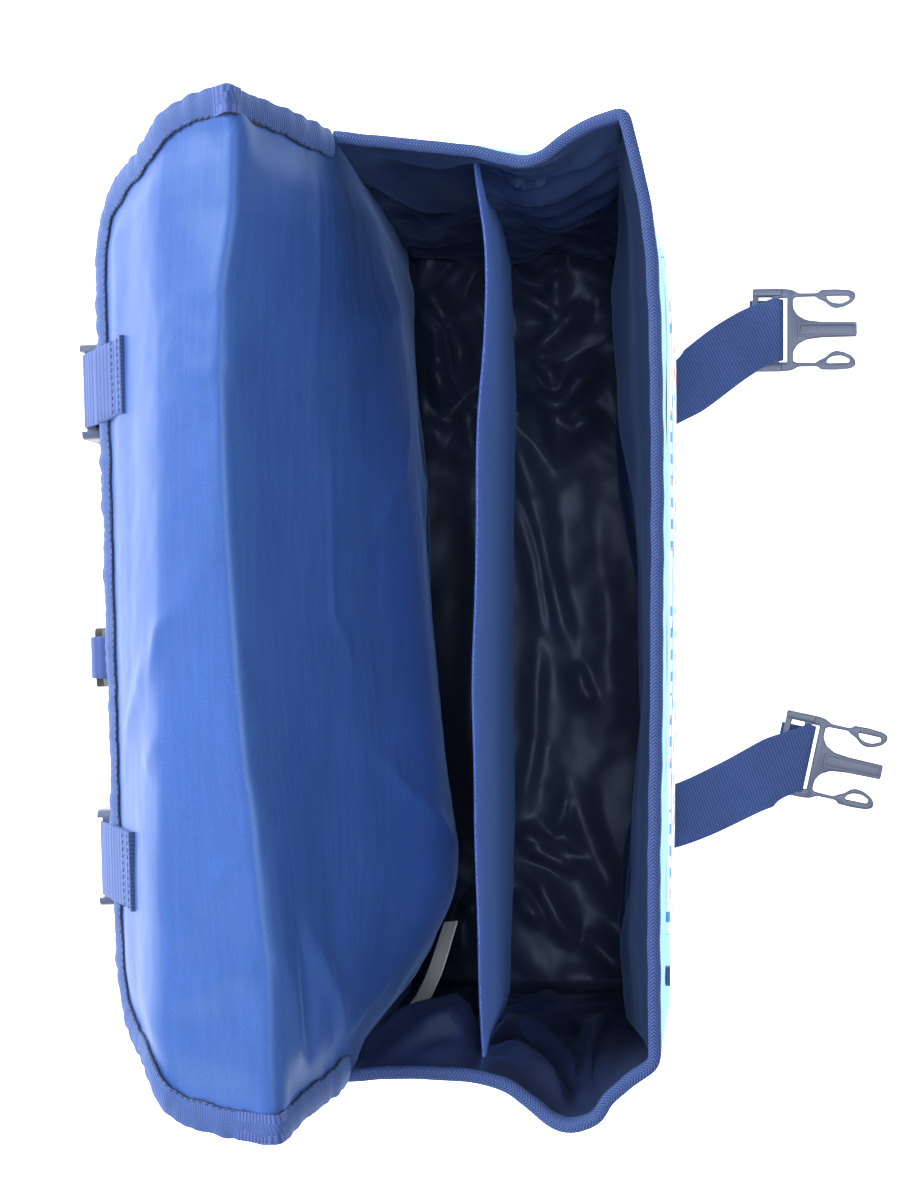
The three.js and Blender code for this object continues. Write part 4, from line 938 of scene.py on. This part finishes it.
# ------------------------------------------------------------------ care label
root, tip, across = np.array([-169, 43.5, 112.0]), np.array([-136, 33.5, 108.0]), unit(np.array([0.14, -0.62, 0.78]))
U, V = np.meshgrid(np.linspace(-0.5, 0.5, 14), np.linspace(0, 1, 40))
seam = np.array([-181.5, 53.0, 109.0])  # the label's sewn end, out of sight below the gusset's lining
k = np.clip(V / 0.3, 0, 1)[..., None]
P = seam + (root - seam) * k + (tip - root) * np.clip((V - 0.3) / 0.7, 0, 1)[..., None] + across * (14 * U)[..., None] + np.array([0, 1.0, 0]) * (1.0 * np.tanh((0.40 - V) * 9) + 0.8 * U * V * 2)[..., None]
ob = slab("care_label_ribbon", P, -0.2, 0.2, np.stack([50 * V, 14 * U], -1), LABEL)
piece(ob, "label_cloth", "care_label")

# ------------------------------------------------------------------ webbing
def web_section(w, t, k=5):
    r = t / 2
    a = np.linspace(-np.pi / 2, np.pi / 2, k)
    right_end = [(w / 2 - r + r * math.cos(x), r * math.sin(x)) for x in a]
    left_end = [(-w / 2 + r - r * math.cos(x), -r * math.sin(x)) for x in a]
    top = [(x * (w / 2 - r), r) for x in np.linspace(1, -1, 9)[1:-1]]
    bottom = [(x * (w / 2 - r), -r) for x in np.linspace(-1, 1, 9)[1:-1]]
    return np.array(right_end + top + left_end + bottom)


def ribbon(name, points, rulings, w, t, step, material, heading=None, thick=None):
    points, rulings = np.array(points, float), np.array(rulings, float)
    d = np.concatenate([[0], np.cumsum(np.linalg.norm(np.diff(points, axis=0), axis=1))])
    s = np.linspace(0, d[-1], int(d[-1] / step) + 1)
    p = np.stack([np.interp(s, d, points[:, k]) for k in range(3)], -1)
    e = np.stack([np.interp(s, d, rulings[:, k]) for k in range(3)], -1)
    for _ in range(2):
        p[1:-1] = (p[:-2] + 2 * p[1:-1] + p[2:]) / 4
    n = unit(np.cross(e, np.gradient(p, axis=0)))
    section = np.repeat(web_section(w, t)[None], len(s), 0)
    if thick is not None:  # doubled webbing near the start: reach and extra thickness
        section[..., 1] *= 1 + thick[1] / t * np.clip((thick[0] - s) / 2.0, 0, 1)[:, None]
    return loft(name, p, e, n, section, material, along=s, heading=heading)


STRAPS = {"right": dict(root=(111, -65.2), root_dir=(0.52, -0.85), bar=(141.9, -116.1), end_dir=(0.30, -0.95), turn=0.0, heading=(0.45, -0.89), wide=1.0),
          "left": dict(root=(-97, -65.2), root_dir=(0.30, -0.95), bar=(-67.2, -128.6), end_dir=(0.36, -0.93), turn=12.0, heading=(0.33, -0.94), wide=1.10)}
BAR_Z, BAR_A, WRAP_R, TAIL, TAIL_Z = 4.0, -7.2, 2.95, 13.0, 1.05


def smooth(x, a, b):
    t = min(1.0, max(0.0, (x - a) / (b - a)))
    return t * t * (3 - 2 * t)


def strap_line(row):
    turn = math.radians(row["turn"])
    axis, ruling = np.array([-math.sin(turn), -math.cos(turn), 0]), np.array([math.cos(turn), -math.sin(turn), 0])
    root, bar = np.array([*row["root"], 0.0]), np.array([*row["bar"], 0.0])
    span = np.linalg.norm(bar - root)
    a = root + unit(np.array([*row["root_dir"], 0.0])) * span * 0.36
    b = bar - unit(np.array([*row["end_dir"], 0.0])) * span * 0.36
    points, rulings = [], []
    for s in np.linspace(0, 1, 40):
        p = (1 - s) ** 3 * root + 3 * (1 - s) ** 2 * s * a + 3 * (1 - s) * s**2 * b + s**3 * bar
        t = unit(3 * (1 - s) ** 2 * (a - root) + 6 * (1 - s) * s * (b - a) + 3 * s**2 * (bar - b))
        square = np.array([-t[1], t[0], 0.0])
        square = square if square @ ruling > 0 else -square
        e = np.array([1.0, 0, 0]) * (1 - smooth(s, 0, 0.42)) + square * smooth(s, 0, 0.42)
        k = smooth(s, 0.55, 0.95)
        e = unit(e * (1 - k) + ruling * k)
        p[2] = 0.9 + (BAR_Z + WRAP_R - 0.9) * smooth(46 - np.linalg.norm((p - bar)[:2]), 0, 24)
        points.append(p)
        rulings.append(e * min(1.06, 1 / max(0.5, e @ square)) * (1 + (row["wide"] - 1) * smooth(s, 0.5, 1)))
    for deg in np.linspace(80, -90, 18):
        w = math.radians(deg)
        points.append(bar + axis * WRAP_R * math.cos(w) + np.array([0, 0, BAR_Z + WRAP_R * math.sin(w)]))
        rulings.append(ruling * row["wide"])
    for d in np.linspace(2, TAIL, 6):
        points.append(bar - axis * d + np.array([0, 0, TAIL_Z]))
        rulings.append(ruling)
    return points, rulings


for side, row in STRAPS.items():
    ob = ribbon(f"closure_strap_{side}_webbing", *strap_line(row), 30.0, 1.4, 0.9, WEB, heading=unit(np.array(row["heading"])))
    piece(ob, "webbing", f"closure_strap_{side}")

# ------------------------------------------------------------------ tabs on the free edge
def edge_frame(x):
    x0, x1 = back_flap(0.0, 2.0, "bow")[0], back_flap(1.0, 2.0, "bow")[0]
    u = (x - x0) / (x1 - x0)
    p = back_flap(u, 2.0, "bow")
    e = unit(back_flap(u + 0.05, 2.0, "bow") - back_flap(u - 0.05, 2.0, "bow"))
    d = p - back_flap(u, 1.9, "bow")
    d = unit(d - (d @ e) * e)
    return p, d, e, unit(np.cross(e, d))


def hairpin(x, bar_a, bar_n, r, leg_in, leg_out, lean):
    p, d, e, n = edge_frame(x)
    rows = [(a, b, lean * min(1, max(0, a / leg_in[0][0]))) for a, b in leg_in]
    rows += [(bar_a + r * math.cos(math.radians(g)), bar_n + r * math.sin(math.radians(g)), 0) for g in range(75, -76, -15)]
    rows += [(a, b, 0) for a, b in leg_out]
    return [p + d * a + n * b + e * c for a, b, c in rows], [e] * len(rows)


TAB_IN = [(-30, 2.6), (-20, 2.5), (-10, 2.9), (-1, 3.1), (6, 3.0), (11, 2.5)]
TAB_OUT = [(11, -3.9), (6, -4.5), (-1, -4.6), (-20, -3.9)]
for side, x, lean, longer in (("right", 92, 1.5, 0), ("left", -97, -1.5, 3)):
    TAB_IN[0] = (-30 - longer, 2.6)
    ob = ribbon(f"flap_tab_{side}_webbing", *hairpin(x, 15, -0.65, 3.0, TAB_IN, TAB_OUT, lean), 30.0, 1.4, 0.8, TAB_WEB, thick=(30, 1.6))
    piece(ob, "webbing", f"flap_tab_{side}")
    points, rulings = hairpin(x, 15, -0.65, 3.0, TAB_IN, TAB_OUT, lean)
    p, d, e, n = edge_frame(x)
    line = np.linspace(-15.2, 15.2, 30)
    bar = points[0] - d * 0.5 + e * line[:, None] + n * 0.2
    # the cut end in the darker webbing is painted shade along the tab's raised end
    box = np.array([(-0.45, -1.6), (0.55, -1.6), (0.55, 1.1), (0.25, 1.5), (-0.3, 1.35), (-0.45, 0.9)])
    ob = loft(f"flap_tab_{side}_cut_edge", bar, np.repeat(d[None], 30, 0), np.repeat(n[None], 30, 0), box, TAB_EDGE_SHADED)
    piece(ob, "webbing")
    rows = [points[0] + d * k + e * np.arange(-13.5, 14, 2.7)[:, None] + n * 1.5 for k in (2.6, 9.5)]
    rows = np.concatenate(rows)
    capsules(f"flap_tab_{side}_stitches", rows, np.repeat(e[None], len(rows), 0), np.repeat(n[None], len(rows), 0), 1.7, 0.32, WEB, "webbing")
RING_IN = [(-18, -4.4), (0, -4.7), (3, -4.2), (7, -1.4), (10.5, 2.2), (14, 3.2)]
RING_OUT = [(13.4, -3.7), (9, -5.2), (4, -6.6), (0, -6.9), (-16, -6.4)]
ob = ribbon("ring_tab_webbing", *hairpin(-16, 16, 0, 3.0, RING_IN, RING_OUT, 0), 17.0, 1.4, 0.8, TAB_WEB)
piece(ob, "webbing", "ring_tab")

# ------------------------------------------------------------------ male buckles
def rounded(points, r, k=4):
    """The same outline with its corners rounded."""
    p = np.array(points, float)
    out = []
    for a, b, c in zip(np.roll(p, 1, 0), p, np.roll(p, -1, 0)):
        ra, rc = min(r, 0.45 * np.linalg.norm(a - b)), min(r, 0.45 * np.linalg.norm(c - b))
        q0, q1 = b + unit(a - b) * ra, b + unit(c - b) * rc
        out += [(1 - t) ** 2 * q0 + 2 * t * (1 - t) * b + t * t * q1 for t in np.linspace(0, 1, k)]
    return np.array(out)


def plates(name, rows, material):
    """Flat parts cut to outlines: (outlines in millimetres, z0, z1, edge rounding) each, as one mesh."""
    import bmesh
    bm = bmesh.new()
    for outlines, z0, z1, edge in rows:
        cu = bpy.data.curves.new(name + "_outline", "CURVE")
        cu.dimensions, cu.fill_mode = "2D", "BOTH"
        cu.bevel_depth, cu.bevel_resolution, cu.offset = edge * MM, 2, -edge * MM
        cu.extrude = (z1 - z0) / 2 * MM - edge * MM
        for line in outlines:
            sp = cu.splines.new("POLY")
            sp.points.add(len(line) - 1)
            for q, (x, y) in zip(sp.points, line):
                q.co = (x * MM, y * MM, 0, 1)
            sp.use_cyclic_u = True
        o = bpy.data.objects.new(name + "_outline", cu)
        scene.collection.objects.link(o)
        bpy.context.view_layer.update()
        me = bpy.data.meshes.new_from_object(o.evaluated_get(bpy.context.evaluated_depsgraph_get()))
        me.transform(Matrix.Translation((0, 0, (z0 + z1) / 2 * MM)))
        bm.from_mesh(me)
        bpy.data.objects.remove(o)
        bpy.data.curves.remove(cu)
        bpy.data.meshes.remove(me)
    bmesh.ops.remove_doubles(bm, verts=bm.verts, dist=1e-6)
    bmesh.ops.recalc_face_normals(bm, faces=bm.faces)
    me = bpy.data.meshes.new(name)
    bm.to_mesh(me)
    bm.free()
    me.polygons.foreach_set("use_smooth", np.ones(len(me.polygons), dtype=bool))
    me.set_sharp_from_angle(angle=math.radians(40))
    me.materials.append(material)
    ob = bpy.data.objects.new(name, me)
    scene.collection.objects.link(ob)
    return ob


HALF = [(3.5, 32.3), (3.8, 15.5), (4.7, 8.0), (7.2, 3.6), (10.8, 1.5), (15.4, 1.5), (16.1, 3.2), (16.3, 12.4), (15.2, 13.6), (13.6, 17.1),
        (11.5, 19.2), (10.4, 21.9), (11.0, 25.9), (13.0, 29.9), (15.5, 31.8), (17.9, 31.5), (19.2, 29.0), (19.7, 21.9), (19.5, 14.9),
        (17.9, 13.4), (17.9, 4.2), (19.8, 0.8), (20.2, -3.0), (20.2, -18.2)]
WINDOW = [(16.5, 17.4), (16.4, 28.6), (14.4, 29.0), (12.6, 25.0), (12.9, 20.8), (14.4, 18.2)]
flip = lambda line: [(-x, y) for x, y in reversed(line)]
BUCKLE = [([rounded(HALF + flip(HALF), 1.1), rounded([(-15.8, -5.4), (15.8, -5.4), (15.8, -1.3), (-15.8, -1.3)], 0.6), rounded([(-16.2, -15.2), (16.2, -15.2), (16.2, -8.7), (-16.2, -8.7)], 0.6), rounded(WINDOW, 1.3), rounded(flip(WINDOW), 1.3)], 1.8, 5.2, 0.55),
          ([rounded([(16.6, -18.2), (20.2, -18.2), (20.2, -4.0), (16.6, -4.0)], 0.8)], 0.3, 5.8, 0.5),
          ([rounded([(-20.2, -18.2), (-16.6, -18.2), (-16.6, -4.0), (-20.2, -4.0)], 0.8)], 0.3, 5.8, 0.5),
          ([rounded([(-3.4, 3.6), (3.4, 3.6), (3.1, 31.8), (-3.1, 31.8)], 0.5), rounded([(-2.3, 4.8), (2.3, 4.8), (2.1, 30.6), (-2.1, 30.6)], 0.4)], 4.6, 6.1, 0.2)]
for side, centre, turn in (("right", (141.9, -122.7), 180.0), ("left", (-67.40, -135.14), 168.0)):
    ob = plates(f"male_buckle_{side}_plastic", BUCKLE, PLASTIC)
    ob.data.transform(Matrix.Translation((centre[0] * MM, centre[1] * MM, 0)) @ Matrix.Rotation(math.radians(turn), 4, "Z"))
    piece(ob, "buckle_plastic", f"male_buckle_{side}")

# ------------------------------------------------------------------ rigid nodes that stay, with rounded edges
def keep(node, material, bevel):
    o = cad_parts[node]
    o.data.materials.clear()
    o.data.materials.append(material)
    b = o.modifiers.new("rounded", "BEVEL")
    b.width, b.segments, b.limit_method, b.angle_limit = bevel * MM, 2, "ANGLE", math.radians(40)
    b.use_clamp_overlap = True


for side in ("left", "right"):
    keep(f"female_buckle_{side}", PLASTIC, 0.6)
keep("tab_ring", DARK, 0.5)
keep("pocket_tab", WEB, 0.3)

# ------------------------------------------------------------------ floor and light
floor_mat = Mat("floor", (0.86, 0.86, 0.86), 0.9)
floor_mat.color(floor_mat.ramp(floor_mat.noise(floor_mat.uv()[3], 3, 2), (0.2, (0.85, 0.85, 0.85)), (0.8, (0.88, 0.88, 0.88))))
floor_mat.b.inputs["Emission Color"].default_value = (1, 1, 1, 1)
floor_mat.b.inputs["Emission Strength"].default_value = 1.3
ob = mesh_object("floor", np.array([(-4000, -4000, 0), (4000, -4000, 0), (4000, 4000, 0), (-4000, 4000, 0)]), [(0, 1, 2, 3)], None, floor_mat.m, None)

world = bpy.data.worlds.new("studio")
scene.world = world
world.use_nodes = True
world.node_tree.nodes["Background"].inputs["Color"].default_value = (1, 1, 1, 1)
world.node_tree.nodes["Background"].inputs["Strength"].default_value = 0.40


def area_light(name, place, target, size, power):
    l = bpy.data.lights.new(name, "AREA")
    l.shape, l.size, l.energy = "DISK", size, power
    o = bpy.data.objects.new(name, l)
    scene.collection.objects.link(o)
    o.location = place
    o.rotation_euler = (Vector(target) - Vector(place)).to_track_quat("-Z", "Y").to_euler()
    return o


area_light("window", (1.10, 1.58, 1.24), (0, 0.1, 0.25), 1.2, 66)
area_light("second_window", (-1.19, 1.52, 1.24), (0, 0.1, 0.25), 1.2, 20)
area_light("overhead", (0.04, -0.14, 1.9), (0, -0.02, 0), 0.5, 11.5)
area_light("front", (-0.05, -0.62, 1.8), (0, 0, 0.1), 0.5, 7)

scene.view_settings.view_transform = "Standard"
